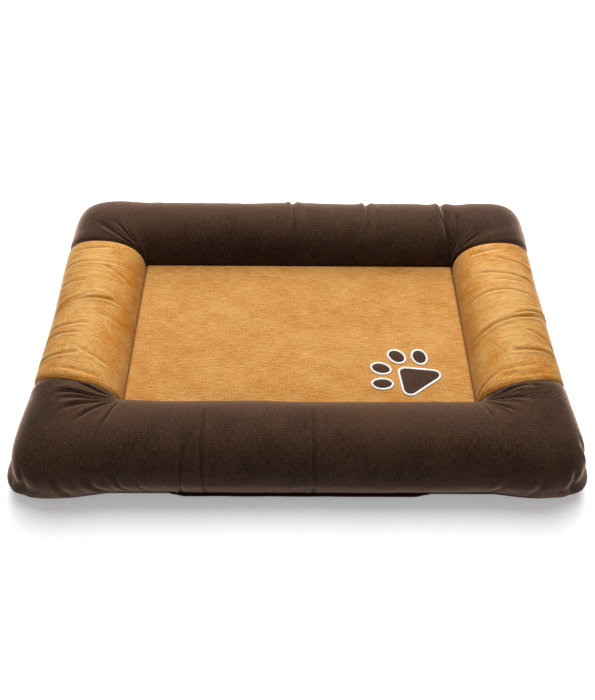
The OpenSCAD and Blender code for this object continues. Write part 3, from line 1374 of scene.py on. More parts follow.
class Pattern:
    """A Geometry Nodes tree that makes a repeated shape."""

    def __init__(self, name: str) -> None:
        """Starts a tree with a geometry input and output.

        Args:
            name: the tree's name.
        """
        self.tree = bpy.data.node_groups.new(name, "GeometryNodeTree")
        face = self.tree.interface
        face.new_socket("Geometry", in_out="INPUT", socket_type="NodeSocketGeometry")
        face.new_socket("Geometry", in_out="OUTPUT", socket_type="NodeSocketGeometry")
        self.inputs: dict[str, str] = {}
        self.start = self.tree.nodes.new("NodeGroupInput")
        self.end = self.tree.nodes.new("NodeGroupOutput")

    def input(self, name: str, kind: str = "Float") -> bpy.types.NodeSocket:
        """Adds a named input and gives its socket inside the tree.

        Args:
            name: the input's name.
            kind: its type of socket.

        Returns:
            The socket.
        """
        socket = self.tree.interface.new_socket(name, in_out="INPUT", socket_type="NodeSocket" + kind)
        self.inputs[name] = socket.identifier
        return self.start.outputs[name]

    def node(self, kind: str, **settings: object) -> bpy.types.Node:
        """Adds a node and sets its options.

        Args:
            kind: type of node.
            settings: its options.

        Returns:
            The node.
        """
        made = self.tree.nodes.new(kind)
        for key, value in settings.items():
            setattr(made, key, value)
        return made

    def join(self, source: bpy.types.NodeSocket, node: bpy.types.Node, name: str) -> None:
        """Links a socket to a node's named input."""
        self.tree.links.new(source, node.inputs[name])

    def finish(self, shapes: bpy.types.NodeSocket) -> None:
        """Ends the tree with real geometry in the material that the modifier names.

        Args:
            shapes: the geometry made so far.
        """
        real = self.node("GeometryNodeRealizeInstances")
        painted = self.node("GeometryNodeSetMaterial")
        self.join(shapes, real, "Geometry")
        self.join(real.outputs[0], painted, "Geometry")
        self.join(self.input("Material", "Material"), painted, "Material")
        self.tree.links.new(painted.outputs[0], self.end.inputs[0])

    def grow(self, obj: bpy.types.Object, **values: object) -> bpy.types.Object:
        """Runs the tree on an object and keeps the result as its plain mesh.

        Args:
            obj: the object that carries the starting geometry.
            values: a value for each named input.

        Returns:
            The same object.
        """
        modifier = obj.modifiers.new(self.tree.name, "NODES")
        modifier.node_group = self.tree
        for name, value in values.items():
            modifier[self.inputs[name]] = value
        return baked(obj)


def stitch_pattern() -> Pattern:
    """Tree that sets a thread at even spacing along a loop of edges.

    Returns:
        The pattern, with inputs Spacing, Across, Along and High in metres.
    """
    pattern = Pattern("stitches")
    curve = pattern.node("GeometryNodeMeshToCurve")
    points = pattern.node("GeometryNodeCurveToPoints", mode="LENGTH")
    thread = pattern.node("GeometryNodeMeshUVSphere")
    thread.inputs["Segments"].default_value = 6
    thread.inputs["Rings"].default_value = 4
    thread.inputs["Radius"].default_value = 0.5
    turn = pattern.node("FunctionNodeAxesToRotation", primary_axis="Z", secondary_axis="Y")
    turn.inputs[0].default_value = (0, 0, 1)
    size = pattern.node("ShaderNodeCombineXYZ")
    place = pattern.node("GeometryNodeInstanceOnPoints")
    smooth = pattern.node("GeometryNodeSetShadeSmooth")
    pattern.join(pattern.start.outputs[0], curve, "Mesh")
    pattern.join(curve.outputs[0], points, "Curve")
    pattern.join(pattern.input("Spacing"), points, "Length")
    pattern.join(pattern.input("Across"), size, "X")
    pattern.join(pattern.input("Along"), size, "Y")
    pattern.join(pattern.input("High"), size, "Z")
    pattern.tree.links.new(points.outputs["Tangent"], turn.inputs[1])
    pattern.join(points.outputs["Points"], place, "Points")
    pattern.join(thread.outputs["Mesh"], place, "Instance")
    pattern.join(turn.outputs[0], place, "Rotation")
    pattern.join(size.outputs[0], place, "Scale")
    pattern.join(place.outputs[0], smooth, "Geometry")
    pattern.finish(smooth.outputs[0])
    return pattern


def coil_pattern() -> Pattern:
    """Tree that winds a wire round a straight line along X.

    Returns:
        The pattern, with inputs Turns, Radius, Length, Wire and Start.
    """
    pattern = Pattern("zip_coil")
    wind = pattern.node("GeometryNodeCurveSpiral")
    wind.inputs["Resolution"].default_value = 9
    lay = pattern.node("GeometryNodeTransform")
    lay.inputs["Rotation"].default_value = (0, math.pi / 2, 0)
    profile = pattern.node("GeometryNodeCurvePrimitiveCircle")
    profile.inputs["Resolution"].default_value = 5
    wire = pattern.node("GeometryNodeCurveToMesh")
    wire.inputs["Fill Caps"].default_value = True
    smooth = pattern.node("GeometryNodeSetShadeSmooth")
    radius = pattern.input("Radius")
    pattern.join(pattern.input("Turns"), wind, "Rotations")
    pattern.join(radius, wind, "Start Radius")
    pattern.join(radius, wind, "End Radius")
    pattern.join(pattern.input("Length"), wind, "Height")
    pattern.join(pattern.input("Wire"), profile, "Radius")
    pattern.join(wind.outputs[0], lay, "Geometry")
    pattern.join(pattern.input("Start", "Vector"), lay, "Translation")
    pattern.join(lay.outputs[0], wire, "Curve")
    pattern.join(profile.outputs[0], wire, "Profile Curve")
    pattern.join(wire.outputs[0], smooth, "Geometry")
    pattern.finish(smooth.outputs[0])
    return pattern


def loop_object(name: str, points: np.ndarray) -> bpy.types.Object:
    """Object that is a closed loop of edges through the points.

    Args:
        name: the object's name.
        points: places in order round the loop.

    Returns:
        The object.
    """
    mesh = bpy.data.meshes.new(name)
    count = len(points)
    mesh.from_pydata(points.tolist(), [(i, (i + 1) % count) for i in range(count)], [])
    return new_object(name, mesh)


# ---------------------------------------------------------------- well and base


@dataclass
class SleepingPad:
    """The padded panel in the well, drawn down into a tuck all round.

    Args:
        plan: the bed's sizes.
        crown: rise of the panel's middle above its seams, in metres.
        roll: width of the rolled edge in metres.
        tuck: depth of the tuck at the bolsters.
        unevenness: height of the panel's slow bumps.
    """

    plan: BedPlan
    crown: float = 3.5 * MM
    roll: float = 7 * MM
    tuck: float = 8 * MM
    unevenness: float = 1.2 * MM
    lumps: Drift = field(default_factory=lambda: Drift(5))

    def height(self, x: np.ndarray, y: np.ndarray) -> np.ndarray:
        """Height of the panel at places in plan.

        Args:
            x: places along the bed.
            y: places across the bed.

        Returns:
            Heights in metres.
        """
        plan = self.plan
        edge = np.minimum(plan.well_x - np.abs(x), plan.well_y - np.abs(y)).clip(0)
        level = (1 - (np.abs(x) / plan.well_x) ** 4) * (1 - (np.abs(y) / plan.well_y) ** 4)
        lump = self.lumps.at(x / 0.07 + 20, y / 0.05 + 20)
        lump = lump + 0.4 * self.lumps.at(x / 0.02 + 40, y / 0.03 + 40)
        near = 1 - np.clip(edge / self.roll, 0, 1)
        drop = self.tuck * (1 - np.sqrt(1 - near**2.4))
        return plan.seam + self.crown * level + self.unevenness * lump * ease(edge / 0.03) - drop

    def lines(self, half: float) -> np.ndarray:
        """Places of the mesh lines from one edge to the other, closer together at the edges.

        Args:
            half: half the distance between the edges.

        Returns:
            Places in order.
        """
        edge = np.array([0, 0.6, 1.4, 2.4, 3.6, 5, 7, 9.5, 13]) * MM
        count = round((half - edge[-1]) / (5 * MM))
        side = half - np.concatenate([edge, edge[-1] + np.linspace(0, half - edge[-1], count + 1)[1:]])
        return np.concatenate([-side, side[-2::-1]])

    def build(self) -> bpy.types.Object:
        """Makes the pad as a closed mesh.

        Returns:
            The object.
        """
        plan = self.plan
        xs, ys = self.lines(plan.well_x - 0.3 * MM), self.lines(plan.well_y - 0.3 * MM)
        x, y = np.meshgrid(xs, ys, indexing="ij")
        past_x, past_y = (np.abs(x) - plan.run_x).clip(0), (np.abs(y) - plan.run_y).clip(0)
        out = np.hypot(past_x, past_y)
        pull = np.minimum(1, np.maximum(past_x, past_y) / np.maximum(out, TINY))
        inside = np.where((past_x > 0) & (past_y > 0), pull, 1.0)
        x = np.sign(x) * (np.abs(x) - past_x * (1 - inside))
        y = np.sign(y) * (np.abs(y) - past_y * (1 - inside))
        top = np.stack([x, y, self.height(x, y)], 2)
        rows, columns = x.shape
        faces = [
            (i * columns + j, (i + 1) * columns + j, (i + 1) * columns + j + 1, i * columns + j + 1)
            for i in range(rows - 1)
            for j in range(columns - 1)
        ]
        rim = [i * columns for i in range(rows)]
        rim += [(rows - 1) * columns + j for j in range(1, columns)]
        rim += [i * columns + columns - 1 for i in range(rows - 2, -1, -1)]
        rim += list(range(columns - 2, 0, -1))
        points = [top.reshape(-1, 3)]
        count, edge = rows * columns, rim
        for level in (0.6, 0.25, 0.0):
            ring = top.reshape(-1, 3)[rim].copy()
            ring[:, 2] = plan.base + (ring[:, 2] - plan.base) * level
            inner = list(range(count, count + len(rim)))
            faces += [
                (edge[k], inner[k], inner[(k + 1) % len(rim)], edge[(k + 1) % len(rim)])
                for k in range(len(rim))
            ]
            points.append(ring)
            count, edge = count + len(rim), inner
        points.append(np.array([[0, 0, plan.base]]))
        faces += [(edge[(k + 1) % len(rim)], edge[k], count) for k in range(len(rim))]
        flat = np.concatenate(points)
        mesh = mesh_from("sleeping_pad", flat, faces)
        set_uv(mesh, flat[:, :2])
        return face_outwards(new_object("sleeping_pad", mesh))


@dataclass
class BasePanel:
    """The base fabric under the bed, sewn to the bolsters along its edge.

    Args:
        plan: the bed's sizes.
        corner: the front bolster, whose base seam gives the corners' shape.
        seam_in: distance of the stitch row in from the edge.
        stitch: length of a stitch.
    """

    plan: BedPlan
    corner: CornerBolster
    seam_in: float = 6 * MM
    stitch: float = 3.2 * MM

    def outline(self, inset: float) -> np.ndarray:
        """Edge of the base in plan, drawn in by a distance.

        Args:
            inset: distance in metres.

        Returns:
            Points in plan, in order round the bed.
        """
        plan = self.plan
        turn = plan.run_x + self.corner.corner_run * np.linspace(1, 0, 24, endpoint=False)
        run = np.linspace(plan.run_x, -plan.run_x, 48)
        along = np.concatenate([turn, run, -turn[::-1]])
        out = np.array([plan.base_out - inset])
        plain = replace(self.corner, swell=(0.0, 0.0), sag=(0.0, 0.0), lift=0.0, seam_shift=(0.0, 0.0))
        front = plain.place(along, out, np.zeros(1))[:, 0, :2]
        return np.concatenate([front, front[::-1] * (1, -1)])

    def build(self) -> bpy.types.Object:
        """Makes the panel as a thin closed mesh with rounded edges.

        Returns:
            The object.
        """
        plan = self.plan
        levels = [(1.2, 0.0), (0.35, 0.25), (0.0, 0.9), (0.0, 1.6), (0.35, 2.25), (1.2, 2.5)]
        scale = plan.base / (2.5 * MM)
        rings = [np.zeros((0, 3))]
        for inset, height in levels:
            flat = self.outline(inset * MM)
            rings.append(np.column_stack([flat, np.full(len(flat), height * MM * scale)]))
        size = len(rings[1])
        faces = [
            (k * size + i, k * size + (i + 1) % size, (k + 1) * size + (i + 1) % size, (k + 1) * size + i)
            for k in range(len(levels) - 1)
            for i in range(size)
        ]
        points = np.concatenate(rings + [np.array([[0, 0, 0.0], [0, 0, plan.base]])])
        low, high = len(points) - 2, len(points) - 1
        top = (len(levels) - 1) * size
        faces += [((i + 1) % size, i, low) for i in range(size)]
        faces += [(top + i, top + (i + 1) % size, high) for i in range(size)]
        mesh = mesh_from("base_fabric", points, faces)
        mesh.polygons.foreach_set("use_smooth", [len(f) == 4 for f in faces])
        return face_outwards(new_object("base_fabric", mesh))

    def stitches(self, pattern: Pattern, thread: bpy.types.Material) -> bpy.types.Object:
        """Makes the row of stitches under the edge of the base.

        Args:
            pattern: the stitch tree.
            thread: the thread's material.

        Returns:
            The stitches as one piece.
        """
        flat = self.outline(self.seam_in)
        run = loop_object("base_seam_stitches", np.column_stack([flat, np.full(len(flat), 0.15 * MM)]))
        return pattern.grow(
            run, Spacing=1.35 * self.stitch, Across=0.6 * MM, Along=self.stitch, High=0.5 * MM,
            Material=thread,
        )


# ---------------------------------------------------------------- paw


@dataclass(frozen=True)
class Lay:
    """How a pad of the paw lies once it is sewn on, beside its cut shape.

    Args:
        shift: how far it lies off its place, in metres.
        stretch: how much wider and deeper it is.
        turn: how far it is turned, in degrees anticlockwise.
    """

    shift: tuple[float, float]
    stretch: tuple[float, float]
    turn: float = 0.0

    def place(self, flat: np.ndarray) -> np.ndarray:
        """Moves an outline in plan as the pad lies.

        Args:
            flat: points in plan.

        Returns:
            The points as they lie.
        """
        middle = (flat.min(0) + flat.max(0)) / 2
        cos, sin = math.cos(math.radians(self.turn)), math.sin(math.radians(self.turn))
        turned = (flat - middle) * self.stretch @ np.array([[cos, sin], [-sin, cos]])
        return middle + turned + self.shift


@dataclass
class PawPatch:
    """One pad of the paw applique: a velour patch inside a border of satin stitch.

    Args:
        pad: the sleeping pad that it is sewn on.
        lay: how it lies.
        swell: rise of the patch's middle above its edge.
        spacing: spacing of the border's threads.
    """

    pad: SleepingPad
    lay: Lay
    swell: float = 1.1 * MM
    spacing: float = 0.42 * MM

    def outline(self, node: bpy.types.Object, count: int) -> np.ndarray:
        """Evenly spaced points round a node's outline in plan.

        Args:
            node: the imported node, which is convex in plan.
            count: number of points.

        Returns:
            Points in plan, anticlockwise.
        """
        flat = [v.co.to_2d() for v in node.data.vertices]
        hull = self.lay.place(np.array([flat[i] for i in geometry.convex_hull_2d(flat)]))
        closed = np.concatenate([hull, hull[:1]])
        along = np.concatenate([[0], np.cumsum(np.linalg.norm(np.diff(closed, axis=0), axis=1))])
        even = np.linspace(0, along[-1], count, endpoint=False)
        return np.stack([np.interp(even, along, closed[:, k]) for k in (0, 1)], 1)

    def on_pad(self, flat: np.ndarray, rise: float) -> np.ndarray:
        """Points in plan laid on the sleeping pad and raised by a distance."""
        return np.column_stack([flat, self.pad.height(flat[:, 0], flat[:, 1]) + rise])

    def build_patch(self, node: bpy.types.Object, name: str) -> bpy.types.Object:
        """Makes the patch, domed between its edges.

        Args:
            node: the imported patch.
            name: the piece's name.

        Returns:
            The patch.
        """
        rim = self.outline(node, 72)
        centre = rim.mean(0)
        rings = [self.on_pad(centre + (rim - centre) * 1.02, -1.5 * MM)]
        for share in (1.02, 0.97, 0.88, 0.74, 0.56, 0.36, 0.17):
            flat = centre + (rim - centre) * share
            rings.append(self.on_pad(flat, 0.7 * MM + self.swell * (1 - share**2)))
        size = len(rim)
        faces = [
            (k * size + i, k * size + (i + 1) % size, (k + 1) * size + (i + 1) % size, (k + 1) * size + i)
            for k in range(len(rings) - 1)
            for i in range(size)
        ]
        last = (len(rings) - 1) * size
        points = np.concatenate(rings + [self.on_pad(centre[None], 0.7 * MM + self.swell)])
        faces += [(last + i, last + (i + 1) % size, len(points) - 1) for i in range(size)]
        faces.append(tuple(range(size - 1, -1, -1)))
        mesh = mesh_from(name, points, faces)
        set_uv(mesh, points[:, :2])
        set_value(mesh, np.zeros(len(points)), "relief")
        return face_outwards(new_object(name, mesh))

    def build_border(
        self, patch: bpy.types.Object, border: bpy.types.Object, name: str, pattern: Pattern,
        thread: bpy.types.Material,
    ) -> bpy.types.Object:
        """Makes the satin stitch: close threads over a padded ridge.

        Args:
            patch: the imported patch.
            border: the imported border.
            name: the piece's name.
            pattern: the stitch tree.
            thread: the thread's material.

        Returns:
            The border.
        """
        inner, outer = self.outline(patch, 240), self.outline(border, 240)
        start = np.argmin(np.linalg.norm(outer - inner[0], axis=1))
        outer = np.roll(outer, -start, axis=0)
        middle = (inner + outer) / 2
        width = float(np.linalg.norm(outer - inner, axis=1).mean())
        ridge = loop_object(name, self.on_pad(middle, 0.25 * MM))
        pattern.grow(ridge, Spacing=self.spacing, Across=width, Along=1.5 * self.spacing, High=2.9 * MM,
                     Material=thread)
        return ridge


# ---------------------------------------------------------------- zip


@dataclass
class BaseZip:
    """The zip in the front base seam, under its flap.

    Args:
        plan: the bed's sizes.
        wardrobe: the finishes.
        nodes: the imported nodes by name.
        pitch: spacing of the coil's turns.
        wire: radius of the coil's wire.
        hem: radius of the flap's rolled hem.
    """

    plan: BedPlan
    wardrobe: Wardrobe
    nodes: dict[str, bpy.types.Object]
    pitch: float = 1.5 * MM
    wire: float = 0.26 * MM
    hem: float = 1.7 * MM

    def flap(self) -> bpy.types.Object:
        """Makes the flap: a strip of velour with a rolled hem along its outer edge.

        Returns:
            The flap.
        """
        low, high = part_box("zip_flap")
        roll = Drift(71)
        xs = np.linspace(low.x, high.x, 150)
        middle = (low.z + high.z) / 2
        angles = np.linspace(-0.72 * math.pi, 0.72 * math.pi, 12)
        front = low.y + self.hem
        section = [(high.y, middle + 0.55 * MM)]
        section += [(front - self.hem * math.cos(a), middle + self.hem * math.sin(a)) for a in angles[::-1]]
        section += [(high.y, middle - 0.55 * MM)]
        line = np.array(section)
        shift = roll.at(xs / 0.05, xs * 0 + 3.5)
        drawn_in = 5 * MM * (1 - ease((xs - low.x) / 0.03) * ease((high.x - xs) / 0.03))
        grid = np.empty((len(xs), len(line), 3))
        grid[..., 0] = xs[:, None]
        loose = 0.9 * MM * ease((high.y - line[:, 0]) / (high.y - low.y))
        reach = (high.y - line[:, 0]) / (high.y - low.y)
        grid[..., 1] = line[:, 0] + shift[:, None] * loose * 0.6 + drawn_in[:, None] * reach
        grid[..., 2] = line[:, 1] + np.abs(shift[:, None]) * loose * 0.5
        points = grid.reshape(-1, 3)
        mesh = mesh_from("zip_flap_hem", points, tube_faces(*grid.shape[:2]))
        set_uv(mesh, points[:, :2] + (0, 0.5))
        # Painted highlight: a relief of 0.8 paints the whole flap lighter, like a lit ridge.
        set_value(mesh, np.full(len(points), 0.8), "relief")
        return face_outwards(new_object("zip_flap_hem", mesh))

    def tape(self, name: str) -> bpy.types.Object:
        """Makes a zip tape: a thin strip with a corded inner edge.

        Args:
            name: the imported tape.

        Returns:
            The tape.
        """
        low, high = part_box(name)
        inner_up = low.z > self.plan.base + 1 * MM
        xs = np.linspace(low.x, high.x, 200)
        rise = np.linspace(0, 1, 9)
        thick = high.y - low.y
        cord = np.where(rise < 0.2, 1.0, 0.62) if inner_up else np.where(rise > 0.8, 1.0, 0.62)
        ripple = 0.12 * thick * np.sin(xs[:, None] / (1.5 * MM)) * (cord < 1)
        z = low.z + rise * (high.z - low.z)
        face = np.empty((len(xs), len(rise), 3))
        face[..., 0], face[..., 2] = xs[:, None], z
        back = face.copy()
        face[..., 1] = high.y - thick * cord + ripple
        back[..., 1] = high.y
        grid = np.concatenate([face, back[:, ::-1]], 1)
        mesh = mesh_from(name + "_web", grid.reshape(-1, 3), tube_faces(*grid.shape[:2]))
        return face_outwards(new_object(name + "_web", mesh))

    def coil(self, name: str, pattern: Pattern) -> bpy.types.Object:
        """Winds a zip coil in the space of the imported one.

        Args:
            name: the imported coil.
            pattern: the coil tree.

        Returns:
            The coil.
        """
        low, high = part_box(name)
        radius = (high.z - low.z) / 2
        start = Vector((low.x, low.y + radius, (low.z + high.z) / 2))
        obj = new_object(name + "_wound", bpy.data.meshes.new(name + "_wound"))
        length = high.x - low.x
        return pattern.grow(
            obj, Turns=length / self.pitch, Radius=radius - 1.2 * self.wire, Length=length,
            Wire=self.wire, Start=start, Material=self.wardrobe.materials[Slot.COIL],
        )

    def cast(self, name: str, bevel: float) -> bpy.types.Object:
        """Copies a packed casting and rounds its edges.

        Args:
            name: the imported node.
            bevel: size of the rounding in metres.

        Returns:
            The casting.
        """
        mesh = self.nodes[name].data.copy()
        work = bmesh.new()
        work.from_mesh(mesh)
        bmesh.ops.remove_doubles(work, verts=work.verts, dist=1e-6)
        bmesh.ops.dissolve_limit(work, angle_limit=math.radians(2), verts=work.verts, edges=work.edges)
        work.to_mesh(mesh)
        work.free()
        obj = new_object(name + "_cast", mesh)
        rounding = obj.modifiers.new("rounding", "BEVEL")
        rounding.width, rounding.segments = bevel, 2
        rounding.limit_method, rounding.angle_limit = "ANGLE", math.radians(40)
        baked(obj)
        obj.data.polygons.foreach_set("use_smooth", [False] * len(obj.data.polygons))
        return obj

    def build(self) -> dict[str, list[bpy.types.Object]]:
        """Makes the zip's pieces and dresses them.

        Returns:
            The pieces of each body.
        """
        dress = self.wardrobe.dress
        winding = coil_pattern()
        flap = dress(self.flap(), Slot.BROWN)
        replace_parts(flap, "zip_flap")
        still = [flap]
        for side in ("upper", "lower"):
            web = dress(self.tape("zip_tape_" + side), Slot.TAPE)
            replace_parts(web, "zip_tape_" + side)
            wound = self.coil("zip_coil_" + side, winding)
            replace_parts(wound, "zip_coil_" + side)
            still += [web, wound]
        for name in ("zip_top_stops", "zip_bottom_stop"):
            stop = dress(self.cast(name, 0.25 * MM), Slot.METAL)
            still.append(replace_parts(stop, name))
        slider = dress(self.cast("zip_slider", 0.18 * MM), Slot.METAL)
        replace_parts(slider, "zip_slider")
        tab = dress(self.cast("zip_pull_tab", 0.15 * MM), Slot.METAL)
        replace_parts(tab, "zip_pull_tab")
        return {"bed": still, "slider": [slider], "pull_tab": [tab]}


# ---------------------------------------------------------------- studio


@dataclass
class Studio:
    """White floor, soft overhead light and the camera.

    Args:
        eye: place of the camera, in metres.
        tilt: camera's turn from looking straight down, in degrees.
        swing: camera's turn about the vertical, in degrees.
        roll: camera's turn about its own axis, in degrees.
        lens: focal length in millimetres.
        key: power of the overhead light, in watts.
        world: brightness of the surroundings.
        floor_glow: light that the floor gives off itself, which keeps it white.
    """

    eye: tuple[float, float, float] = (-0.01795, -1.11734, 1.32448)
    tilt: float = 40.37
    swing: float = -0.725
    roll: float = 0.816
    lens: float = 40.56
    key: float = 85.0
    world: float = 0.30
    floor_glow: float = 0.28

    def floor(self) -> bpy.types.Object:
        """Makes the floor.

        Returns:
            The floor.
        """
        points = np.array([[-6, -4, 0], [6, -4, 0], [6, 9, 0], [-6, 9, 0]], dtype=float)
        obj = new_object("studio_floor", mesh_from("studio_floor", points, [(0, 1, 2, 3)]))
        shade = Shade("studio_white", 0.9)
        shade.surface.inputs["Base Color"].default_value = (0.93, 0.93, 0.93, 1)
        shade.surface.inputs["Specular IOR Level"].default_value = 0.0
        shade.surface.inputs["Emission Color"].default_value = (1, 1, 1, 1)
        shade.surface.inputs["Emission Strength"].default_value = self.floor_glow
        obj.data.materials.append(shade.material)
        return obj

    def light(self, name: str, size: float, power: float, eye: Vector, target: Vector) -> None:
        """Hangs a square soft light.

        Args:
            name: the light's name.
            size: length of its side in metres.
            power: power in watts.
            eye: place of the light.
            target: point that it faces.
        """
        lamp = bpy.data.lights.new(name, "AREA")
        lamp.size, lamp.energy = size, power
        obj = bpy.data.objects.new(name, lamp)
        obj.location = eye
        obj.rotation_euler = (target - eye).to_track_quat("-Z", "Y").to_euler()
        bpy.context.scene.collection.objects.link(obj)

    def build(self) -> None:
        """Makes the floor, the lights and the camera."""
        self.floor()
        self.light("overhead", 2.6, self.key, Vector((0.1, 0.9, 2.3)), Vector((0, 0, 0)))
        self.light("rim", 2.4, 1.45 * self.key, Vector((0.0, 3.0, 1.5)), Vector((0, 0, 0.1)))
        world = bpy.data.worlds.new("studio")
        world.use_nodes = True
        world.node_tree.nodes["Background"].inputs["Color"].default_value = (1, 1, 1, 1)
        world.node_tree.nodes["Background"].inputs["Strength"].default_value = self.world
        scene = bpy.context.scene
        scene.world = world
        scene.view_settings.view_transform = "Standard"
        lens = bpy.data.cameras.new("camera")
        lens.lens, lens.sensor_width = self.lens, 36
        camera = bpy.data.objects.new("camera", lens)
        turn = (
            Matrix.Rotation(math.radians(self.swing), 4, "Z")
            @ Matrix.Rotation(math.radians(self.tilt), 4, "X")
            @ Matrix.Rotation(math.radians(self.roll), 4, "Z")
        )
        camera.matrix_world = Matrix.Translation(self.eye) @ turn
        scene.collection.objects.link(camera)
        scene.camera = camera


# ---------------------------------------------------------------- the bed


def front_folds() -> tuple[Fold, ...]:
    """Creases of the front bolster: three down its face, gathers at both inner corners, base pleats.

    Returns:
        The folds.
    """
    face = (
        Fold((-0.178, -0.176), (0.26, 1.0), 6.0 * MM, 6 * MM),
        Fold((0.022, 0.025), (0.24, 1.0), 5.2 * MM, 6 * MM),
        Fold((-0.208, -0.226), (0.48, 1.0), 5.0 * MM, 6 * MM),
        Fold((0.178, 0.172), (0.42, 0.6), 0.8 * MM, 12 * MM),
        Fold((-0.062, -0.058), (0.45, 0.7), 0.8 * MM, 14 * MM),
    )
    left = (
        Fold((-0.400, -0.478), (0.13, 0.52), 4.5 * MM, 9 * MM, -40 * MM),
        Fold((-0.360, -0.455), (0.13, 0.52), 5.0 * MM, 9 * MM, -40 * MM),
        Fold((-0.345, -0.450), (0.15, 0.49), 4.5 * MM, 8 * MM, -33 * MM),
        Fold((-0.345, -0.430), (0.18, 0.47), 4.5 * MM, 8 * MM, -27 * MM),
        Fold((-0.340, -0.398), (0.20, 0.45), 4.0 * MM, 8 * MM, -20 * MM),
        Fold((-0.334, -0.356), (0.22, 0.47), 3.5 * MM, 8 * MM, -6 * MM),
    )
    right = (
        Fold((0.400, 0.474), (0.13, 0.46), 3.6 * MM, 9 * MM, 34 * MM),
        Fold((0.365, 0.446), (0.13, 0.43), 3.4 * MM, 9 * MM, 28 * MM),
        Fold((0.345, 0.405), (0.16, 0.40), 3.0 * MM, 9 * MM, 18 * MM),
        Fold((0.334, 0.352), (0.20, 0.40), 2.2 * MM, 9 * MM, 5 * MM),
    )
    pleats = (
        Fold((-0.411, -0.408), (0.68, 0.96), 4.0 * MM, 5 * MM),
        Fold((-0.390, -0.379), (0.66, 0.94), 3.6 * MM, 5 * MM),
        Fold((-0.368, -0.350), (0.66, 0.94), 3.4 * MM, 6 * MM),
        Fold((-0.340, -0.312), (0.66, 0.94), 2.6 * MM, 8 * MM),
        Fold((-0.300, -0.276), (0.70, 0.96), 1.6 * MM, 9 * MM),
        Fold((0.431, 0.428), (0.62, 0.84), 4.5 * MM, 5 * MM),
        Fold((0.412, 0.406), (0.66, 0.96), 4.5 * MM, 5 * MM),
        Fold((0.390, 0.380), (0.68, 0.94), 2.2 * MM, 6 * MM),
        Fold((0.362, 0.348), (0.70, 0.94), 1.8 * MM, 8 * MM),
    )
    return face + left + right + pleats


def back_folds() -> tuple[Fold, ...]:
    """Creases of the back bolster: three notches over its crest, and gathers at its corners.

    Returns:
        The folds.
    """
    return (
        Fold((-0.020, -0.012), (0.82, 0.12), 6.0 * MM, 10 * MM, 2 * MM),
        Fold((0.020, 0.026), (0.50, 0.12), 2.0 * MM, 9 * MM),
        Fold((0.157, 0.152), (0.82, 0.14), 6.0 * MM, 10 * MM, 2 * MM),
        Fold((0.178, 0.182), (0.48, 0.14), 2.0 * MM, 9 * MM),
        Fold((0.328, 0.334), (0.82, 0.10), 6.0 * MM, 11 * MM, 2 * MM),
        Fold((-0.130, -0.126), (0.55, 0.16), 1.6 * MM, 12 * MM),
        Fold((-0.262, -0.258), (0.46, 0.12), 1.0 * MM, 16 * MM),
        Fold((-0.492, -0.440), (0.10, 0.50), 3.6 * MM, 9 * MM),
        Fold((-0.489, -0.428), (0.06, 0.42), 3.6 * MM, 8 * MM, 14 * MM),
        Fold((-0.480, -0.418), (0.05, 0.33), 3.2 * MM, 8 * MM, 8 * MM),
        Fold((0.443, 0.366), (0.03, 0.44), 3.4 * MM, 9 * MM, -30 * MM),
        Fold((0.348, 0.318), (0.03, 0.46), 3.2 * MM, 9 * MM),
        Fold((0.486, 0.448), (0.05, 0.34), 2.6 * MM, 9 * MM, -8 * MM),
    )


def left_folds() -> tuple[Fold, ...]:
    """Creases over the left bolster, most of them on its outer half.

    Returns:
        The folds.
    """
    return (
        Fold((-0.034, 0.016), (0.68, 0.16), 5.0 * MM, 7 * MM, 24 * MM),
        Fold((-0.012, 0.034), (0.66, 0.36), 3.6 * MM, 6 * MM),
        Fold((0.118, 0.128), (0.64, 0.18), 2.4 * MM, 6 * MM),
        Fold((0.120, 0.078), (0.40, 0.10), 1.6 * MM, 7 * MM),
        Fold((-0.074, -0.050), (0.66, 0.33), 2.8 * MM, 6 * MM),
        Fold((-0.098, -0.080), (0.68, 0.36), 3.0 * MM, 6 * MM, 3 * MM),
        Fold((-0.157, -0.128), (0.70, 0.36), 3.4 * MM, 6 * MM),
        Fold((-0.118, -0.148), (0.42, 0.18), 2.0 * MM, 7 * MM),
        Fold((-0.172, -0.176), (0.52, 0.22), 1.6 * MM, 7 * MM),
        Fold((0.060, 0.066), (0.66, 0.42), 1.6 * MM, 6 * MM),
        Fold((0.160, 0.172), (0.62, 0.30), 1.4 * MM, 7 * MM),
        Fold((-0.020, -0.034), (0.34, 0.10), 1.2 * MM, 9 * MM),
    )


def right_folds() -> tuple[Fold, ...]:
    """Creases over the right bolster, and a gather by its front seam.

    Returns:
        The folds.
    """
    return (
        Fold((0.146, 0.117), (0.36, 0.68), 2.6 * MM, 6 * MM, -3 * MM),
        Fold((0.112, 0.068), (0.20, 0.68), 3.2 * MM, 6 * MM),
        Fold((0.036, 0.006), (0.14, 0.66), 2.6 * MM, 6 * MM, 22 * MM),
        Fold((-0.066, -0.036), (0.10, 0.64), 5.0 * MM, 7 * MM, 14 * MM),
        Fold((-0.030, -0.020), (0.36, 0.74), 4.0 * MM, 6 * MM, 7 * MM),
        Fold((-0.066, -0.134), (0.42, 0.70), 2.8 * MM, 6 * MM, 10 * MM),
        Fold((-0.120, -0.138), (0.32, 0.68), 4.0 * MM, 7 * MM, 6 * MM),
        Fold((-0.191, -0.156), (0.01, 0.28), 2.6 * MM, 6 * MM),
        Fold((0.168, 0.172), (0.20, 0.46), 1.6 * MM, 8 * MM),
        Fold((0.078, 0.052), (0.30, 0.60), 1.6 * MM, 6 * MM, 6 * MM),
        Fold((-0.158, -0.160), (0.24, 0.50), 1.4 * MM, 8 * MM),
    )


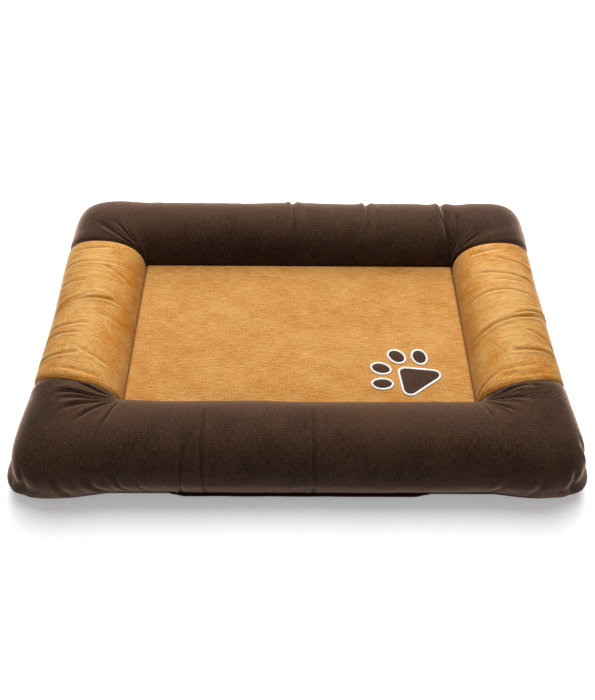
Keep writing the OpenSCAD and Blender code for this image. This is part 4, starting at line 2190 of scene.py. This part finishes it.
@dataclass
class PetBed:
    """The whole bed.

    Args:
        plan: the bed's sizes.
        wardrobe: the finishes.
        nodes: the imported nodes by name.
    """

    plan: BedPlan
    wardrobe: Wardrobe
    nodes: dict[str, bpy.types.Object]

    def bolsters(self) -> list[tuple[Bolster, Slot]]:
        """The four bolsters and their finishes.

        Returns:
            Each bolster with its material slot, the front one first.
        """
        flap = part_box("zip_flap")
        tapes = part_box("zip_tape_upper")
        front_shift, back_shift = (-0.003, 0.026), (0.003, 0.014)
        long = Stuffing(0, self.plan.run_x, 0.02)
        short = Stuffing(1, self.plan.run_y, 0.05)
        lip = (flap[1].x, flap[1].z, -tapes[1].y - self.plan.well_y)
        front = CornerBolster(
            self.plan, "front_bolster", ("front_bolster_cover", "front_bolster_fill"), front_folds(),
            Rumple(11, 0.5 * MM, 26 * MM, 120 * MM), long, edge=Edge.FRONT, corner_power=6.0,
            swell=(0.072, 0.05), sag=(0.26, 0.07), seam_shift=front_shift, lip=lip,
        )
        back = CornerBolster(
            self.plan, "back_bolster", ("back_bolster_cover", "back_bolster_fill"), back_folds(),
            Rumple(21, 0.6 * MM, 30 * MM, 120 * MM), long, edge=Edge.BACK, corner_power=5.3,
            swell=(0.0, 0.03), lift=5 * MM, seam_shift=back_shift,
        )
        left = SideBolster(
            self.plan, "left_bolster", ("left_bolster_cover", "left_bolster_fill"),
            left_folds(), Rumple(31, 0.45 * MM, 9 * MM, 40 * MM), short,
            flank=Flank.LEFT, front_shift=front_shift, back_shift=back_shift,
        )
        right = SideBolster(
            self.plan, "right_bolster", ("right_bolster_cover", "right_bolster_fill"),
            right_folds(), Rumple(41, 0.45 * MM, 9 * MM, 40 * MM), short,
            flank=Flank.RIGHT, front_shift=front_shift, back_shift=back_shift,
        )
        return [(front, Slot.BROWN), (back, Slot.BROWN), (left, Slot.TAN), (right, Slot.TAN)]

    def build(self) -> None:
        """Makes every piece, dresses it and gives it to its body."""
        dress, ride = self.wardrobe.dress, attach
        tubes = self.bolsters()
        for bolster, slot in tubes:
            tube = dress(bolster.build(), slot)
            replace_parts(tube, *bolster.stands_for)
            ride(tube, "bed")
            report(tube)
        pad = SleepingPad(self.plan)
        panel = dress(pad.build(), Slot.PANEL)
        walls = [side + "_partition_wall" for side in ("front", "back", "left", "right")]
        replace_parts(panel, "sleeping_panel", "mattress_core", *walls)
        ride(panel, "bed")
        report(panel)
        stitches = stitch_pattern()
        self.build_base(tubes[0][0], stitches)
        self.build_paw(pad, stitches)
        for body, pieces in BaseZip(self.plan, self.wardrobe, self.nodes).build().items():
            for piece in pieces:
                ride(piece, body)
                report(piece)

    def build_base(self, front: CornerBolster, stitches: Pattern) -> None:
        """Makes the base fabric and its row of stitches.

        Args:
            front: the front bolster, whose corners the base follows.
            stitches: the stitch tree.
        """
        base = BasePanel(self.plan, front)
        fabric = self.wardrobe.dress(base.build(), Slot.BASE)
        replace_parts(fabric, "base_panel")
        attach(fabric, "bed")
        report(fabric)
        row = base.stitches(stitches, self.wardrobe.materials[Slot.COIL])
        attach(row, "bed")
        report(row)

    def build_paw(self, pad: SleepingPad, stitches: Pattern) -> None:
        """Makes the five pads of the paw and their borders.

        Args:
            pad: the sleeping pad under them.
            stitches: the stitch tree.
        """
        lays = {
            "heel_%s": Lay((3.7 * MM, 0.8 * MM), (1.107, 0.905)),
            "toe_%s_1": Lay((-2.0 * MM, -3.0 * MM), (1.14, 1.0), -4.0),
            "toe_%s_2": Lay((-4.6 * MM, -6.5 * MM), (1.12, 1.05), 6.0),
            "toe_%s_3": Lay((-3.9 * MM, -6.3 * MM), (1.17, 1.02), 20.0),
            "toe_%s_4": Lay((0.0, -6.3 * MM), (1.18, 1.01), 27.0),
        }
        for name, lay in lays.items():
            patch_node, border_node = "paw_" + name % "patch", "paw_" + name % "border"
            maker = PawPatch(pad, lay)
            patch, border = self.nodes[patch_node], self.nodes[border_node]
            cloth = self.wardrobe.dress(maker.build_patch(patch, patch_node + "_velour"), Slot.PATCH)
            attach(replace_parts(cloth, patch_node), "bed")
            satin = maker.build_border(patch, border, border_node + "_satin", stitches,
                                       self.wardrobe.materials[Slot.SATIN])
            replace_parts(satin, border_node)
            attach(satin, "bed")
            report(cloth)
            report(satin)


def report(piece: bpy.types.Object) -> None:
    """Logs a finished piece and its size."""
    size = [round(1000 * d) for d in piece.dimensions]
    LOG.info("%s: %d faces, %s mm", piece.name, len(piece.data.polygons), size)


def main() -> None:
    """Builds the bed round its frame, then the studio."""
    logging.basicConfig(level=logging.INFO, format="%(message)s")
    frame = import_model()
    PetBed(BedPlan.from_frame(), Wardrobe(), frame["nodes"]).build()
    Studio().build()
    bpy.context.view_layer.update()


if __name__ == "__main__":
    main()
